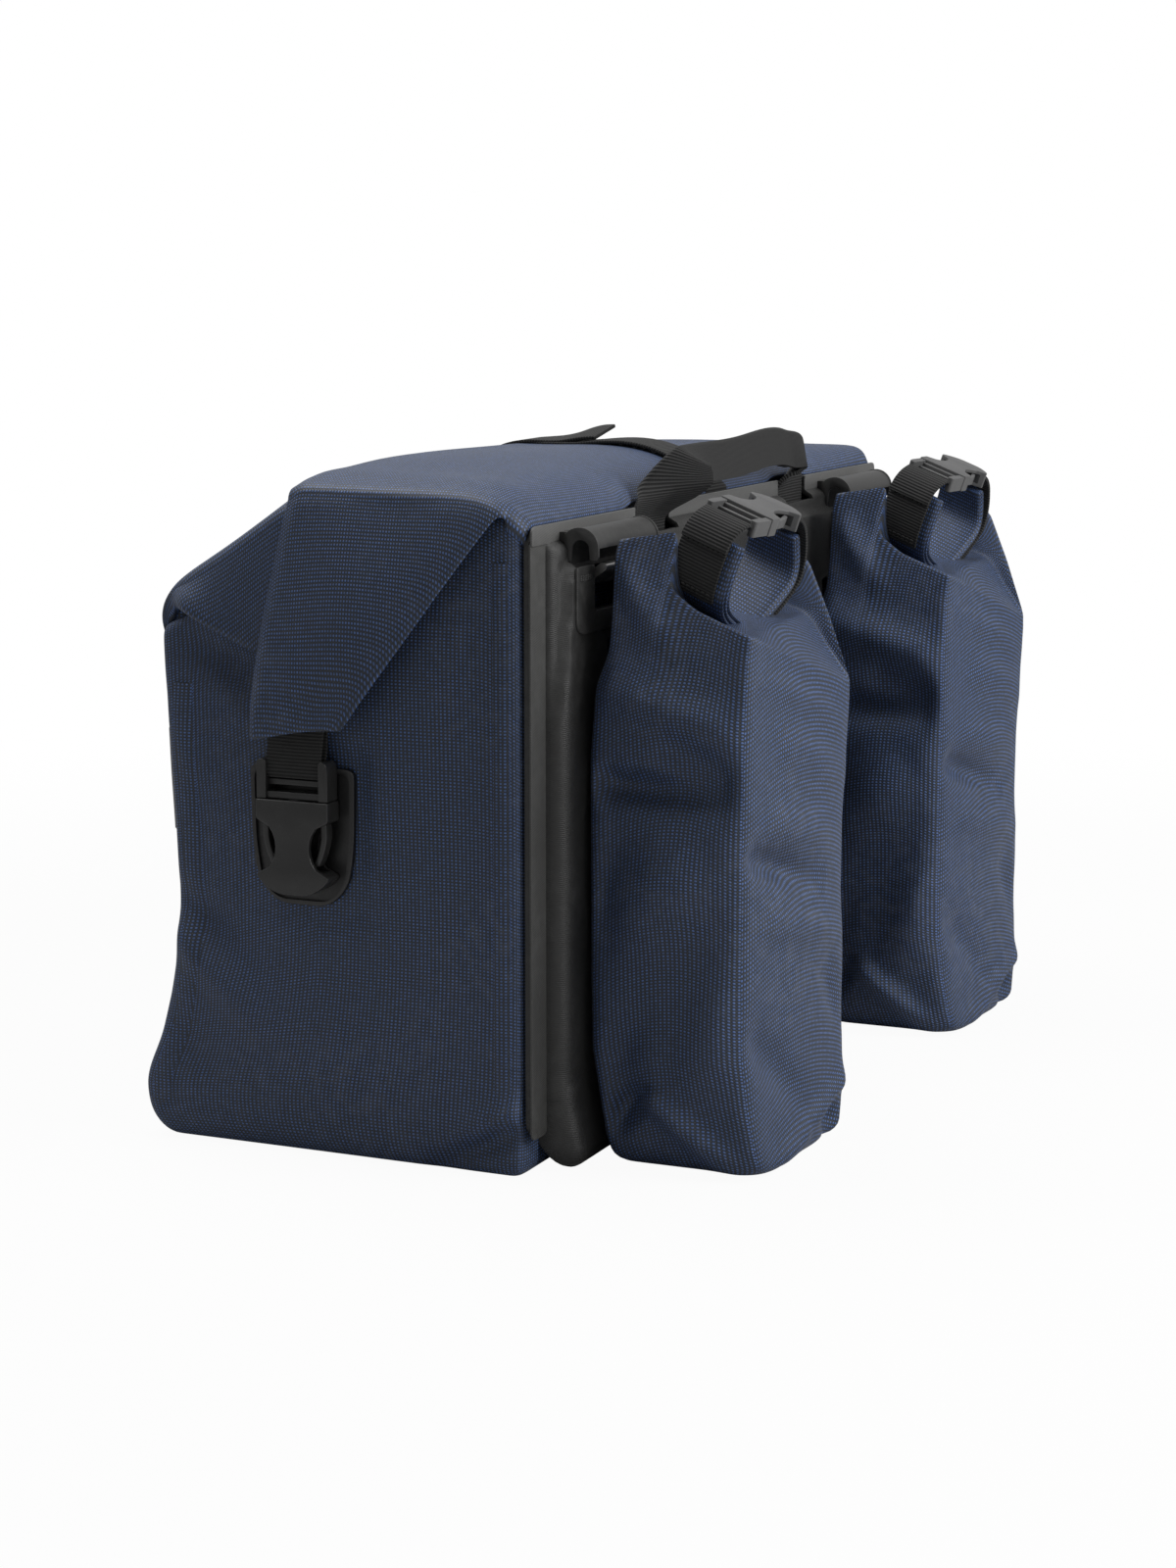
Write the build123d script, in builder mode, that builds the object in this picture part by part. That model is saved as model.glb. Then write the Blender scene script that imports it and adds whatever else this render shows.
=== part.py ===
"""Roll-top pannier bag with a moulded back panel, rail hooks, a lifting carry handle
and two small roll-top bags that hang on the rack side of the panel.

Frame: +X along the bag, +Y from the rack side out to the bag's outer face, +Z up.
Origin: on the ground, in the middle of the whole object's plan.
All lengths in millimetres, all angles in degrees.
"""
from build123d import *
from math import cos, radians, sin
import os

os.makedirs("parts", exist_ok=True)

# ---------------------------------------------------------------- driving dimensions
# main bag
BAG_LENGTH = 476.0
BAG_BASE_DEPTH = 192.0
BAG_BELLY_DEPTH = 200.0       # low bulge of the outer face
BAG_WAIST_DEPTH = 179.0       # where the outer face is pinched in
BAG_SHOULDER_DEPTH = 190.0    # under the rolled edge
BAG_CREST_DEPTH = 117.0       # ridge between the flat top and the slope
BELLY_HEIGHT = 20.0
WAIST_HEIGHT = 95.0
BACK_HEIGHT = 301.0
CREST_RISE = 14.0             # crest above the top of the back
SLOPE_FOOT_DROP = 37.0        # foot of the slope below the top of the back
SHOULDER_DROP = 14.0          # widest place of the outer face, below the slope's foot
SHOULDER_STEP = 4.0           # slope's foot in from the shoulder
FABRIC_WALL = 3.0             # coated fabric with its foam lining
ROLL_THICKNESS = 4.0
ROLL_OVERLAP = 21.0           # roll's lower edge below the slope's foot
ROLL_START = 4.0              # roll's edge out from the bag's back

# back panel
PANEL_EDGE_INSET = 3.0        # panel edge in from the end faces
PANEL_FOOT_HEIGHT = 19.0      # lower edge of the flange
FLANGE_THICKNESS = 3.0
POD_INSET = 15.0              # pod in from the panel's edge
POD_STEP = 4.5                # pod face proud of the part behind the rail
POD_TOP_GAP = 4.0
POD_STEP_DROP = 1.0           # step below the rail's lower side
POD_BOTTOM_HEIGHT = 1.5
POD_TAPER = 30.0
PANEL_WALL = 3.0
BUMPER_PROUD = 5.0            # bumper proud of the pod face
BUMPER_HEIGHT = 15.0
TAPE_THICKNESS = 1.0
PANEL_CORNER = 8.0

# rail hooks
RAIL_RADIUS = 6.0
RAIL_DROP = 7.0               # rail axis below the pod's top
RAIL_DEPTH = 15.5             # rail axis out from the bag's back
HOOK_END_INSET = 14.0         # hook in from the pod's end
HOOK_LENGTH = 68.0
HOOK_WALL = 3.0
HOOK_CHEEK = 4.0
HOOK_SILL = 4.0               # height of the housing's lower plate
HOOK_SCREW_INSET = 8.0        # screws in from the housing's ends
HOOK_SCREW_DROP = 4.5         # and down from its top
HOOK_SCREW_DEPTH = 8.0        # screw tips stay short of the rail channel
BEARING_WALL = 4.5            # cheek above and below the latch shaft
HOUSING_GAP = 1.0             # housing in front of the bag's back
LATCH_SHAFT_RADIUS = 2.5
LATCH_SHAFT_DROP = 17.5       # latch shaft below the rail axis
NOSE_REACH = 12.0
NOSE_THICKNESS = 4.0
NOSE_WIDTH = 24.0
NOSE_ANGLE = 36.0
DRUM_RADIUS = 3.5
DRUM_WIDTH = 36.0
SPRING_WIRE = 1.0
SPRING_TURNS = 5

# carry handle and webbing
HANDLE_WEBBING = 40.0
WEBBING_THICKNESS = 2.2
LEG_TO_HOOK = 75.0            # between the middles of a leg and of the hook beside it
LEG_BELOW_SHAFT = 4.5
FINGER_GAP = 5.5              # under the grip's ends
GRIP_RISE = 4.0
GRIP_WIDTH = 19.0
GRIP_THICKNESS = 5.0
GRIP_SHOULDER = 6.0           # grip's ends below its straight part
LEG_GAP = 0.9                 # legs in front of the bag's back
STRAP_WIDTH = 30.0
STRAP_THICKNESS = 1.8
STRAP_TAIL_LENGTH = 62.0

# closure buckles and end tabs
BUCKLE_CENTRE_DEPTH = 111.0   # buckle's centre line out from the bag's back
BUCKLE_FOOT_HEIGHT = 127.0
PATCH_WIDTH = 55.0
PATCH_HEIGHT = 66.0
PATCH_THICKNESS = 1.5
PATCH_MARGIN = 6.0            # patch below the buckle's lower end
CLOSURE_WEBBING_LENGTH = 17.0
TAB_THICKNESS = 2.6
TAB_LEAN = 6.2
TAB_GAP = 0.55                # tab above the webbing's end
TAB_FOOT_WIDTH = 47.0
TAB_INNER_DEPTH = 9.0

# side-release buckle, the same on the closure and on the small bags
BUCKLE_WIDTH = 38.0
BUCKLE_THICKNESS = 11.0
FEMALE_LENGTH = 45.0
MALE_FRAME_LENGTH = 17.0
PRONG_LENGTH = 30.0
PRONG_WIDTH = 5.0
BUCKLE_WALL = 2.4
BUCKLE_WEBBING = 29.0
BAR_LENGTH = 3.2
BAR_PLACE = 7.5               # webbing bar's middle from the male half's shoulder
SHOULDER_LENGTH = 3.0
CATCH_LENGTH = 18.0
CATCH_DEPTH = 5.5

# outer face band
BAND_HEIGHT = 50.0
BAND_FOOT_HEIGHT = 150.0
BAND_THICKNESS = 2.0
BAND_INSET = 6.0

# inner boards
BOARD_THICKNESS = 2.5
BOARD_GAP = 4.0
SCREW_RADIUS = 2.0
SCREW_HEAD_RADIUS = 3.8
SCREW_HEAD_HEIGHT = 2.4
SCREW_SOCKET = 0.8            # hexagon socket, as a part of the screw's radius

# small bags
SMALL_END_INSET = 39.0        # small bag in from the main bag's end
SMALL_WIDTH = 104.0
SMALL_REACH = 108.0           # outer face out from the main bag's back
SMALL_BACK_GAP = 1.0          # small bag's back in front of the pod face
SMALL_FOOT_GAP = 7.0          # small bag's foot in front of the bumper
SMALL_FOOT_RISE = 26.0        # height of its rounded foot
SMALL_WALL = 2.0
SMALL_CORNER = 12.0
SMALL_NECK_RISE = 38.0        # neck above the shoulder
RING_ABOVE_NECK = 17.0
RING_TO_FRONT = 37.0          # ring's middle behind the small bag's outer face
RING_LEAN = 20.0
RING_TURN = 8.0
RING_WIDTH = 39.0
RING_BAND = 6.0
RING_END_INSET = 12.0         # ring's foot in from the small bag's sides
RING_RISE = 38.0
RING_WEBBING_THICKNESS = 1.8
HANGER_WIDTH = 48.0
HANGER_BAR_HEIGHT = 10.0
HANGER_DROP = 51.0            # hanger bar's foot below the hook housings
HANGER_BAR_THICKNESS = 3.0
HANGER_BAR_SPARE = 14.0       # bar beyond the hook, at each end
HANGER_SCREW_OUT = 9.0
HOOK_LIP = 2.4                # hanger hook's inner flange
HOOK_LIP_DEPTH = 12.0         # how far the flange reaches down behind the bar
HOOK_BELOW = 4.0              # hanger hook below and above the bar
RING_WEBBING_LENGTH = 9.0

# clearances
FIT_GAP = 0.05                # shaft in its bearing
SLIDE_GAP = 0.35              # between moving and still pieces
SCREW_GAP = 0.1
BOARD_FREE = 5.0              # hanger hook to the edges of its window

SMALL_LIFT = 22.0             # travel that frees a small bag's hook from its bar

# ---------------------------------------------------------------- derived places
HALF = BAG_LENGTH / 2
CREST_HEIGHT = BACK_HEIGHT + CREST_RISE
SLOPE_FOOT_HEIGHT = BACK_HEIGHT - SLOPE_FOOT_DROP
SHOULDER_HEIGHT = SLOPE_FOOT_HEIGHT - SHOULDER_DROP
ROLL_FOOT_HEIGHT = SLOPE_FOOT_HEIGHT - ROLL_OVERLAP
BACK_Y = (SMALL_REACH + 2.0 - BAG_BELLY_DEPTH) / 2   # plane of the bag's back

RECESS_DEPTH = RAIL_DEPTH - RAIL_RADIUS              # face behind the rail
POD_DEPTH = RECESS_DEPTH + POD_STEP                  # pod face proud of the bag's back
BUMPER_DEPTH = POD_DEPTH + BUMPER_PROUD
FLANGE_Y = BACK_Y - FLANGE_THICKNESS
POD_Y = BACK_Y - POD_DEPTH
POD_INNER_Y = POD_Y + PANEL_WALL
PANEL_HALF = HALF - PANEL_EDGE_INSET
POD_HALF = PANEL_HALF - POD_INSET
POD_TOP = BACK_HEIGHT - POD_TOP_GAP

RAIL_HEIGHT = POD_TOP - RAIL_DROP
RAIL_Y = BACK_Y - RAIL_DEPTH
POD_STEP_HEIGHT = RAIL_HEIGHT - RAIL_RADIUS - POD_STEP_DROP
LATCH_SHAFT_HEIGHT = RAIL_HEIGHT - LATCH_SHAFT_DROP
SHAFT_Y = BACK_Y - RECESS_DEPTH + LATCH_SHAFT_RADIUS
HOOK_FOOT = LATCH_SHAFT_HEIGHT - NOSE_REACH - NOSE_THICKNESS / 2 - 2.5
HOOK_PLATE_HEIGHT = POD_TOP - HOOK_FOOT
HOOK_SPACING = 2 * (POD_HALF - HOOK_END_INSET) - HOOK_LENGTH

HANDLE_LEG_SPACING = HOOK_SPACING - 2 * LEG_TO_HOOK
HANDLE_LEG_FOOT = LATCH_SHAFT_HEIGHT - LEG_BELOW_SHAFT
GRIP_HEIGHT = BACK_HEIGHT + FINGER_GAP + GRIP_WIDTH / 2

BUCKLE_BAR_TOP = FEMALE_LENGTH + SLIDE_GAP + BAR_PLACE + BAR_LENGTH / 2
TAB_FOOT_HEIGHT = BUCKLE_FOOT_HEIGHT + BUCKLE_BAR_TOP + CLOSURE_WEBBING_LENGTH + TAB_GAP

HANGER_BAR_FOOT = HOOK_FOOT - HANGER_DROP
SMALL_SHOULDER_HEIGHT = HANGER_BAR_FOOT
SMALL_NECK_HEIGHT = SMALL_SHOULDER_HEIGHT + SMALL_NECK_RISE
SMALL_BACK_DEPTH = POD_DEPTH + SMALL_BACK_GAP
SMALL_FOOT_DEPTH = BUMPER_DEPTH + SMALL_FOOT_GAP
SMALL_PITCH = 2 * (HALF - SMALL_END_INSET) - SMALL_WIDTH
RING_HEIGHT = SMALL_NECK_HEIGHT + RING_ABOVE_NECK
RING_DEPTH = SMALL_REACH - RING_TO_FRONT
RING_FOOT_HALF = SMALL_WIDTH / 2 - RING_END_INSET

HOOK_CENTRES = {"near": -HOOK_SPACING / 2, "far": HOOK_SPACING / 2}
LEG_CENTRES = {"near": -HANDLE_LEG_SPACING / 2, "far": HANDLE_LEG_SPACING / 2}
SMALL_CENTRES = {"near": -SMALL_PITCH / 2, "far": SMALL_PITCH / 2}
SIDES = {"near": -1, "far": 1}


def save(part, label):
    """Name a finished piece and write it."""
    part.label = label
    export_step(part, f"parts/{label}.step")


def bag_outline():
    """Closed section of the main bag, across Y and Z."""
    with BuildLine() as outline:
        Polyline(
            (BACK_Y, 0),
            (BACK_Y + BAG_BASE_DEPTH, 0),
            (BACK_Y + BAG_BELLY_DEPTH, BELLY_HEIGHT),
            (BACK_Y + BAG_WAIST_DEPTH, WAIST_HEIGHT),
            (BACK_Y + BAG_SHOULDER_DEPTH, SHOULDER_HEIGHT),
            (BACK_Y + BAG_SHOULDER_DEPTH - SHOULDER_STEP, SLOPE_FOOT_HEIGHT),
            (BACK_Y + BAG_CREST_DEPTH, CREST_HEIGHT),
            (BACK_Y, BACK_HEIGHT),
            close=True,
        )
    return outline.line


def across(x):
    """Plane across the bag at x: local X is row +Y, local Y is row +Z, normal +X."""
    return Plane(origin=(x, 0, 0), x_dir=(0, 1, 0), z_dir=(1, 0, 0))


def along(y):
    """Plane along the bag at y: local X is row +X, local Y is row +Z, normal -Y."""
    return Plane(origin=(0, y, 0), x_dir=(1, 0, 0), z_dir=(0, -1, 0))


HOOK_SCREWS = [
    (centre + dx, z)
    for centre in HOOK_CENTRES.values()
    for dx, z in (
        (-HOOK_LENGTH / 2 + HOOK_SCREW_INSET, POD_TOP - HOOK_SCREW_DROP),
        (HOOK_LENGTH / 2 - HOOK_SCREW_INSET, POD_TOP - HOOK_SCREW_DROP),
    )
]
HANGER_SCREWS = [
    (centre + side * (HANGER_WIDTH / 2 + HANGER_SCREW_OUT),
     HANGER_BAR_FOOT + HANGER_BAR_HEIGHT / 2)
    for centre in SMALL_CENTRES.values()
    for side in (-1, 1)
]
ALL_SCREWS = HOOK_SCREWS + HANGER_SCREWS

# ---------------------------------------------------------------- main bag
with BuildPart() as bag_body:
    with BuildSketch(across(-HALF)):
        add(bag_outline())
        make_face()
    extrude(amount=BAG_LENGTH)
    with BuildSketch(across(-HALF + FABRIC_WALL)):
        add(bag_outline())
        make_face()
        offset(amount=-FABRIC_WALL, kind=Kind.INTERSECTION, mode=Mode.REPLACE)
    extrude(amount=BAG_LENGTH - 2 * FABRIC_WALL, mode=Mode.SUBTRACT)
    with BuildSketch(along(BACK_Y)):
        with Locations(*ALL_SCREWS):
            Circle(SCREW_RADIUS + SCREW_GAP)
    extrude(amount=-FABRIC_WALL, mode=Mode.SUBTRACT)
save(bag_body.part, "bag_body")


def layer(inner, outer, x0, x1, window):
    """A skin that lies between two offsets of the bag's outline, inside a window.

    window is (low y, low z, high y, high z).
    """
    low_y, low_z, high_y, high_z = window
    with BuildPart() as skin:
        with BuildSketch(across(x0)):
            add(bag_outline())
            make_face()
            offset(amount=outer, kind=Kind.INTERSECTION, mode=Mode.REPLACE)
            with BuildSketch(across(x0), mode=Mode.SUBTRACT):
                add(bag_outline())
                make_face()
                if inner > 0:
                    offset(amount=inner, kind=Kind.INTERSECTION, mode=Mode.REPLACE)
            with Locations(((low_y + high_y) / 2, (low_z + high_z) / 2)):
                Rectangle(high_y - low_y, high_z - low_z, mode=Mode.INTERSECT)
        extrude(amount=x1 - x0)
    return skin.part


REACH = BAG_BELLY_DEPTH + 50
TOP = CREST_HEIGHT + 50
roll_flap = layer(
    0, ROLL_THICKNESS, -HALF, HALF,
    (BACK_Y + ROLL_START, ROLL_FOOT_HEIGHT, BACK_Y + REACH, TOP),
)
save(roll_flap, "roll_flap")

top_strap = layer(
    ROLL_THICKNESS, ROLL_THICKNESS + STRAP_THICKNESS, -STRAP_WIDTH / 2, STRAP_WIDTH / 2,
    (BACK_Y + ROLL_START, ROLL_FOOT_HEIGHT, BACK_Y + REACH, TOP),
)
save(top_strap, "top_strap")

strap_tail = layer(
    ROLL_THICKNESS + STRAP_THICKNESS, ROLL_THICKNESS + 2 * STRAP_THICKNESS,
    -STRAP_WIDTH / 2, STRAP_WIDTH / 2,
    (BACK_Y + BAG_CREST_DEPTH - STRAP_TAIL_LENGTH, ROLL_FOOT_HEIGHT,
     BACK_Y + BAG_CREST_DEPTH, TOP),
)
save(strap_tail, "strap_tail")

outer_band = layer(
    0, BAND_THICKNESS, -HALF + BAND_INSET, HALF - BAND_INSET,
    (BACK_Y + BAG_CREST_DEPTH, BAND_FOOT_HEIGHT, BACK_Y + REACH,
     BAND_FOOT_HEIGHT + BAND_HEIGHT),
)
save(outer_band, "outer_band")

# ---------------------------------------------------------------- end tabs
TOP_SLOPE = (CREST_HEIGHT - BACK_HEIGHT) / BAG_CREST_DEPTH
for name, side in SIDES.items():
    # The tab's plane hangs from the roll's end and leans out, away from the end face.
    tab_plane = Plane(
        origin=(side * HALF, BACK_Y, CREST_HEIGHT),
        x_dir=(0, 1, 0),
        z_dir=(cos(radians(TAB_LEAN)), 0, side * sin(radians(TAB_LEAN))),
    )
    foot = -(CREST_HEIGHT - TAB_FOOT_HEIGHT) / cos(radians(TAB_LEAN))
    with BuildPart() as end_tab:
        with BuildSketch(tab_plane):
            with BuildLine():
                Polyline(
                    (BAG_CREST_DEPTH, 0),
                    (BUCKLE_CENTRE_DEPTH + TAB_FOOT_WIDTH / 2, foot),
                    (BUCKLE_CENTRE_DEPTH - TAB_FOOT_WIDTH / 4, foot + 4),
                    (BUCKLE_CENTRE_DEPTH - TAB_FOOT_WIDTH / 2, foot + 9),
                    (TAB_INNER_DEPTH, -TOP_SLOPE * (BAG_CREST_DEPTH - TAB_INNER_DEPTH)),
                    close=True,
                )
            make_face()
        extrude(amount=side * TAB_THICKNESS)
    save(end_tab.part, f"end_tab_{name}")

# ---------------------------------------------------------------- back panel
CAVITY_HALF = POD_HALF - 12
POD_LEVELS = ((POD_TOP, RECESS_DEPTH), (POD_STEP_HEIGHT, POD_DEPTH))
CAVITY_TOPS = (POD_TOP - 6, POD_STEP_HEIGHT - 1)
CAVITY_TOP = CAVITY_TOPS[0]
LEG_SLOT = HANDLE_WEBBING + 2
HOOK_POCKET = HOOK_LENGTH + 2 * SCREW_GAP
WINDOW_FOOT = HANGER_BAR_FOOT - HOOK_BELOW - BOARD_FREE
WINDOW_HEIGHT = HANGER_BAR_HEIGHT + 2 * HOOK_BELOW + SMALL_LIFT + 1.8 * BOARD_FREE

with BuildPart() as back_panel:
    flange_height = BACK_HEIGHT - PANEL_FOOT_HEIGHT
    with BuildSketch(along(BACK_Y)):
        with Locations((0, PANEL_FOOT_HEIGHT + flange_height / 2)):
            RectangleRounded(2 * PANEL_HALF, flange_height, PANEL_CORNER)
    extrude(amount=FLANGE_THICKNESS)
    # two levels: the upper one stands back behind the rail, along the whole panel
    for top, depth in POD_LEVELS:
        pod_height = top - POD_BOTTOM_HEIGHT
        with BuildSketch(along(BACK_Y)):
            with Locations((0, POD_BOTTOM_HEIGHT + pod_height / 2)):
                RectangleRounded(2 * POD_HALF, pod_height, PANEL_CORNER)
        extrude(amount=FLANGE_THICKNESS)
        with BuildSketch(along(FLANGE_Y)):
            with Locations((0, POD_BOTTOM_HEIGHT + pod_height / 2)):
                RectangleRounded(2 * POD_HALF, pod_height, PANEL_CORNER)
        extrude(amount=depth - FLANGE_THICKNESS, taper=POD_TAPER)
    bumper_half = POD_HALF - 4
    with BuildSketch(along(BACK_Y)):
        with Locations((0, POD_BOTTOM_HEIGHT + BUMPER_HEIGHT / 2)):
            RectangleRounded(2 * bumper_half, BUMPER_HEIGHT, BUMPER_HEIGHT * 0.4)
    extrude(amount=BUMPER_DEPTH)
    # hollow from behind, to the same two levels
    low = POD_BOTTOM_HEIGHT + BUMPER_HEIGHT + 2
    for (top, depth), roof, taper in zip(POD_LEVELS, CAVITY_TOPS, (0, POD_TAPER)):
        with BuildSketch(along(BACK_Y)):
            with Locations((0, (low + roof) / 2)):
                RectangleRounded(2 * CAVITY_HALF, roof - low, PANEL_CORNER)
        extrude(amount=depth - PANEL_WALL, taper=taper, mode=Mode.SUBTRACT)
    # openings for the hook housings
    with BuildSketch(along(BACK_Y)):
        for centre in HOOK_CENTRES.values():
            with Locations((centre, (HOOK_FOOT + POD_TOP) / 2)):
                Rectangle(HOOK_POCKET, HOOK_PLATE_HEIGHT + 2 * SCREW_GAP)
    extrude(amount=POD_DEPTH + 1, mode=Mode.SUBTRACT)
    # windows for the small bags' hooks
    with BuildSketch(along(BACK_Y)):
        for centre in SMALL_CENTRES.values():
            with Locations((centre, WINDOW_FOOT + WINDOW_HEIGHT / 2)):
                RectangleRounded(HANGER_WIDTH + HOOK_BELOW, WINDOW_HEIGHT, 3)
    extrude(amount=POD_DEPTH + 1, mode=Mode.SUBTRACT)
    # slots in the top edge for the handle's legs
    with BuildSketch(along(BACK_Y)):
        for centre in LEG_CENTRES.values():
            with Locations((centre, (CAVITY_TOP - 2 + BACK_HEIGHT + 1) / 2)):
                Rectangle(LEG_SLOT, BACK_HEIGHT + 1 - CAVITY_TOP + 2)
    extrude(amount=WEBBING_THICKNESS + 1.6, mode=Mode.SUBTRACT)
save(back_panel.part, "back_panel")

with BuildPart() as border_tape:
    with BuildSketch(along(FLANGE_Y)):
        with Locations((0, PANEL_FOOT_HEIGHT + flange_height / 2)):
            RectangleRounded(2 * PANEL_HALF, flange_height, PANEL_CORNER)
        inner_half = POD_HALF + SCREW_GAP
        inner_top = POD_TOP + SCREW_GAP
        with Locations((0, inner_top / 2)):
            RectangleRounded(2 * inner_half, inner_top, PANEL_CORNER, mode=Mode.SUBTRACT)
        for centre in LEG_CENTRES.values():
            with Locations((centre, BACK_HEIGHT)):
                Rectangle(LEG_SLOT, 3 * POD_TOP_GAP, mode=Mode.SUBTRACT)
    extrude(amount=TAPE_THICKNESS)
save(border_tape.part, "border_tape")

# ---------------------------------------------------------------- inner boards and screws
BOARD_Y = BACK_Y + FABRIC_WALL
with BuildPart() as back_board:
    board_height = BACK_HEIGHT - 4 * BOARD_GAP - FABRIC_WALL
    with BuildSketch(along(BOARD_Y)):
        with Locations((0, FABRIC_WALL + BOARD_GAP + BOARD_THICKNESS + board_height / 2)):
            RectangleRounded(2 * PANEL_HALF - 4 * BOARD_GAP, board_height, PANEL_CORNER)
        with Locations(*ALL_SCREWS):
            Circle(SCREW_RADIUS + SCREW_GAP, mode=Mode.SUBTRACT)
    extrude(amount=-BOARD_THICKNESS)
save(back_board.part, "back_board")

with BuildPart() as base_board:
    board_depth = BAG_BASE_DEPTH - 2 * FABRIC_WALL - BOARD_GAP - BOARD_THICKNESS
    board_centre = BOARD_Y + BOARD_THICKNESS + SLIDE_GAP + board_depth / 2
    with BuildSketch(Plane.XY.offset(FABRIC_WALL)):
        with Locations((0, board_centre)):
            RectangleRounded(BAG_LENGTH - 2 * FABRIC_WALL - 2 * BOARD_GAP, board_depth, 12)
    extrude(amount=BOARD_THICKNESS)
save(base_board.part, "base_board")


def panel_screws(places, tip_y, label):
    """Screws from inside the bag, through board, fabric and panel, as one group."""
    with BuildPart() as screws:
        head_y = BOARD_Y + BOARD_THICKNESS
        with BuildSketch(along(head_y)):
            with Locations(*places):
                Circle(SCREW_RADIUS)
        extrude(amount=head_y - tip_y)
        with BuildSketch(along(head_y)):
            with Locations(*places):
                Circle(SCREW_HEAD_RADIUS)
        extrude(amount=-SCREW_HEAD_HEIGHT)
        with BuildSketch(along(head_y + SCREW_HEAD_HEIGHT)):
            with Locations(*places):
                RegularPolygon(SCREW_RADIUS * SCREW_SOCKET, 6)
        extrude(amount=SCREW_HEAD_HEIGHT / 2, mode=Mode.SUBTRACT)
    save(screws.part, label)


# ---------------------------------------------------------------- rail hooks
HOOD_RADIUS = RAIL_RADIUS + HOOK_WALL
RECESS_Y = BACK_Y - RECESS_DEPTH
HOUSING_BACK_Y = BACK_Y - HOUSING_GAP
BEARING_TOP = LATCH_SHAFT_HEIGHT + BEARING_WALL
for name, centre in HOOK_CENTRES.items():
    start = centre - HOOK_LENGTH / 2
    with BuildPart() as housing:
        # hood, back wall and lower plate in one section
        with BuildSketch(across(start)):
            with BuildLine():
                Polyline(
                    (HOUSING_BACK_Y, POD_TOP),
                    (RAIL_Y, POD_TOP),
                    (RAIL_Y, RAIL_HEIGHT),
                    (RECESS_Y, RAIL_HEIGHT),
                    (RECESS_Y, BEARING_TOP + HOOK_WALL),
                    (HOUSING_BACK_Y, BEARING_TOP + HOOK_WALL),
                    close=True,
                )
            make_face()
            with Locations((RAIL_Y, RAIL_HEIGHT)):
                Circle(HOOD_RADIUS)
            with Locations((RAIL_Y, RAIL_HEIGHT)):
                Circle(RAIL_RADIUS, mode=Mode.SUBTRACT)
            with Locations((RAIL_Y, RAIL_HEIGHT - HOOD_RADIUS)):
                Rectangle(2 * RAIL_RADIUS, 2 * HOOD_RADIUS, mode=Mode.SUBTRACT)
            with Locations((RAIL_Y - HOOD_RADIUS, RAIL_HEIGHT - HOOD_RADIUS)):
                Rectangle(2 * HOOD_RADIUS, 2 * HOOD_RADIUS, mode=Mode.SUBTRACT)
        extrude(amount=HOOK_LENGTH)
        # lower plate, flush with the pod
        with BuildSketch(along(POD_INNER_Y)):
            with Locations((centre, HOOK_FOOT + HOOK_SILL / 2)):
                Rectangle(HOOK_LENGTH, HOOK_SILL)
        extrude(amount=PANEL_WALL)
        # cheeks that carry the latch shaft
        for edge in (start, start + HOOK_LENGTH - HOOK_CHEEK):
            with BuildSketch(across(edge)):
                with BuildLine():
                    Polyline(
                        (HOUSING_BACK_Y, HOOK_FOOT),
                        (POD_Y, HOOK_FOOT),
                        (POD_Y, LATCH_SHAFT_HEIGHT - HOOK_WALL),
                        (RECESS_Y, BEARING_TOP),
                        (RECESS_Y, RAIL_HEIGHT - 2),
                        (HOUSING_BACK_Y, RAIL_HEIGHT - 2),
                        close=True,
                    )
                make_face()
                with Locations((SHAFT_Y, LATCH_SHAFT_HEIGHT)):
                    Circle(LATCH_SHAFT_RADIUS + FIT_GAP, mode=Mode.SUBTRACT)
            extrude(amount=HOOK_CHEEK)
        # screw bosses' holes
        with BuildSketch(along(HOUSING_BACK_Y)):
            with Locations(*[p for p in HOOK_SCREWS if abs(p[0] - centre) < HOOK_LENGTH]):
                Circle(SCREW_RADIUS + SCREW_GAP)
        extrude(amount=HOOK_SCREW_DEPTH + SCREW_GAP - HOUSING_GAP, mode=Mode.SUBTRACT)
    save(housing.part, f"hook_housing_{name}")

panel_screws(HOOK_SCREWS, BACK_Y - HOOK_SCREW_DEPTH, "hook_screws")

SHAFT_HALF = HOOK_SPACING / 2 + HOOK_LENGTH / 2
with BuildPart() as latch_bar:
    with BuildSketch(across(-SHAFT_HALF)):
        with Locations((SHAFT_Y, LATCH_SHAFT_HEIGHT)):
            Circle(LATCH_SHAFT_RADIUS)
    extrude(amount=2 * SHAFT_HALF)
    # noses that close the rail channel from below
    nose_dir = (-cos(radians(NOSE_ANGLE)), sin(radians(NOSE_ANGLE)))
    for centre in HOOK_CENTRES.values():
        with BuildSketch(across(centre - NOSE_WIDTH / 2)):
            with Locations(Location((
                SHAFT_Y + nose_dir[0] * NOSE_REACH / 2,
                LATCH_SHAFT_HEIGHT + nose_dir[1] * NOSE_REACH / 2, 0), (0, 0, -NOSE_ANGLE))):
                SlotOverall(NOSE_REACH + NOSE_THICKNESS, NOSE_THICKNESS)
        extrude(amount=NOSE_WIDTH)
    # drums that the handle's webbing turns
    for centre in LEG_CENTRES.values():
        with BuildSketch(across(centre - DRUM_WIDTH / 2)):
            with Locations((SHAFT_Y, LATCH_SHAFT_HEIGHT)):
                Circle(DRUM_RADIUS)
        extrude(amount=DRUM_WIDTH)
save(latch_bar.part, "latch_bar")

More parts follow.
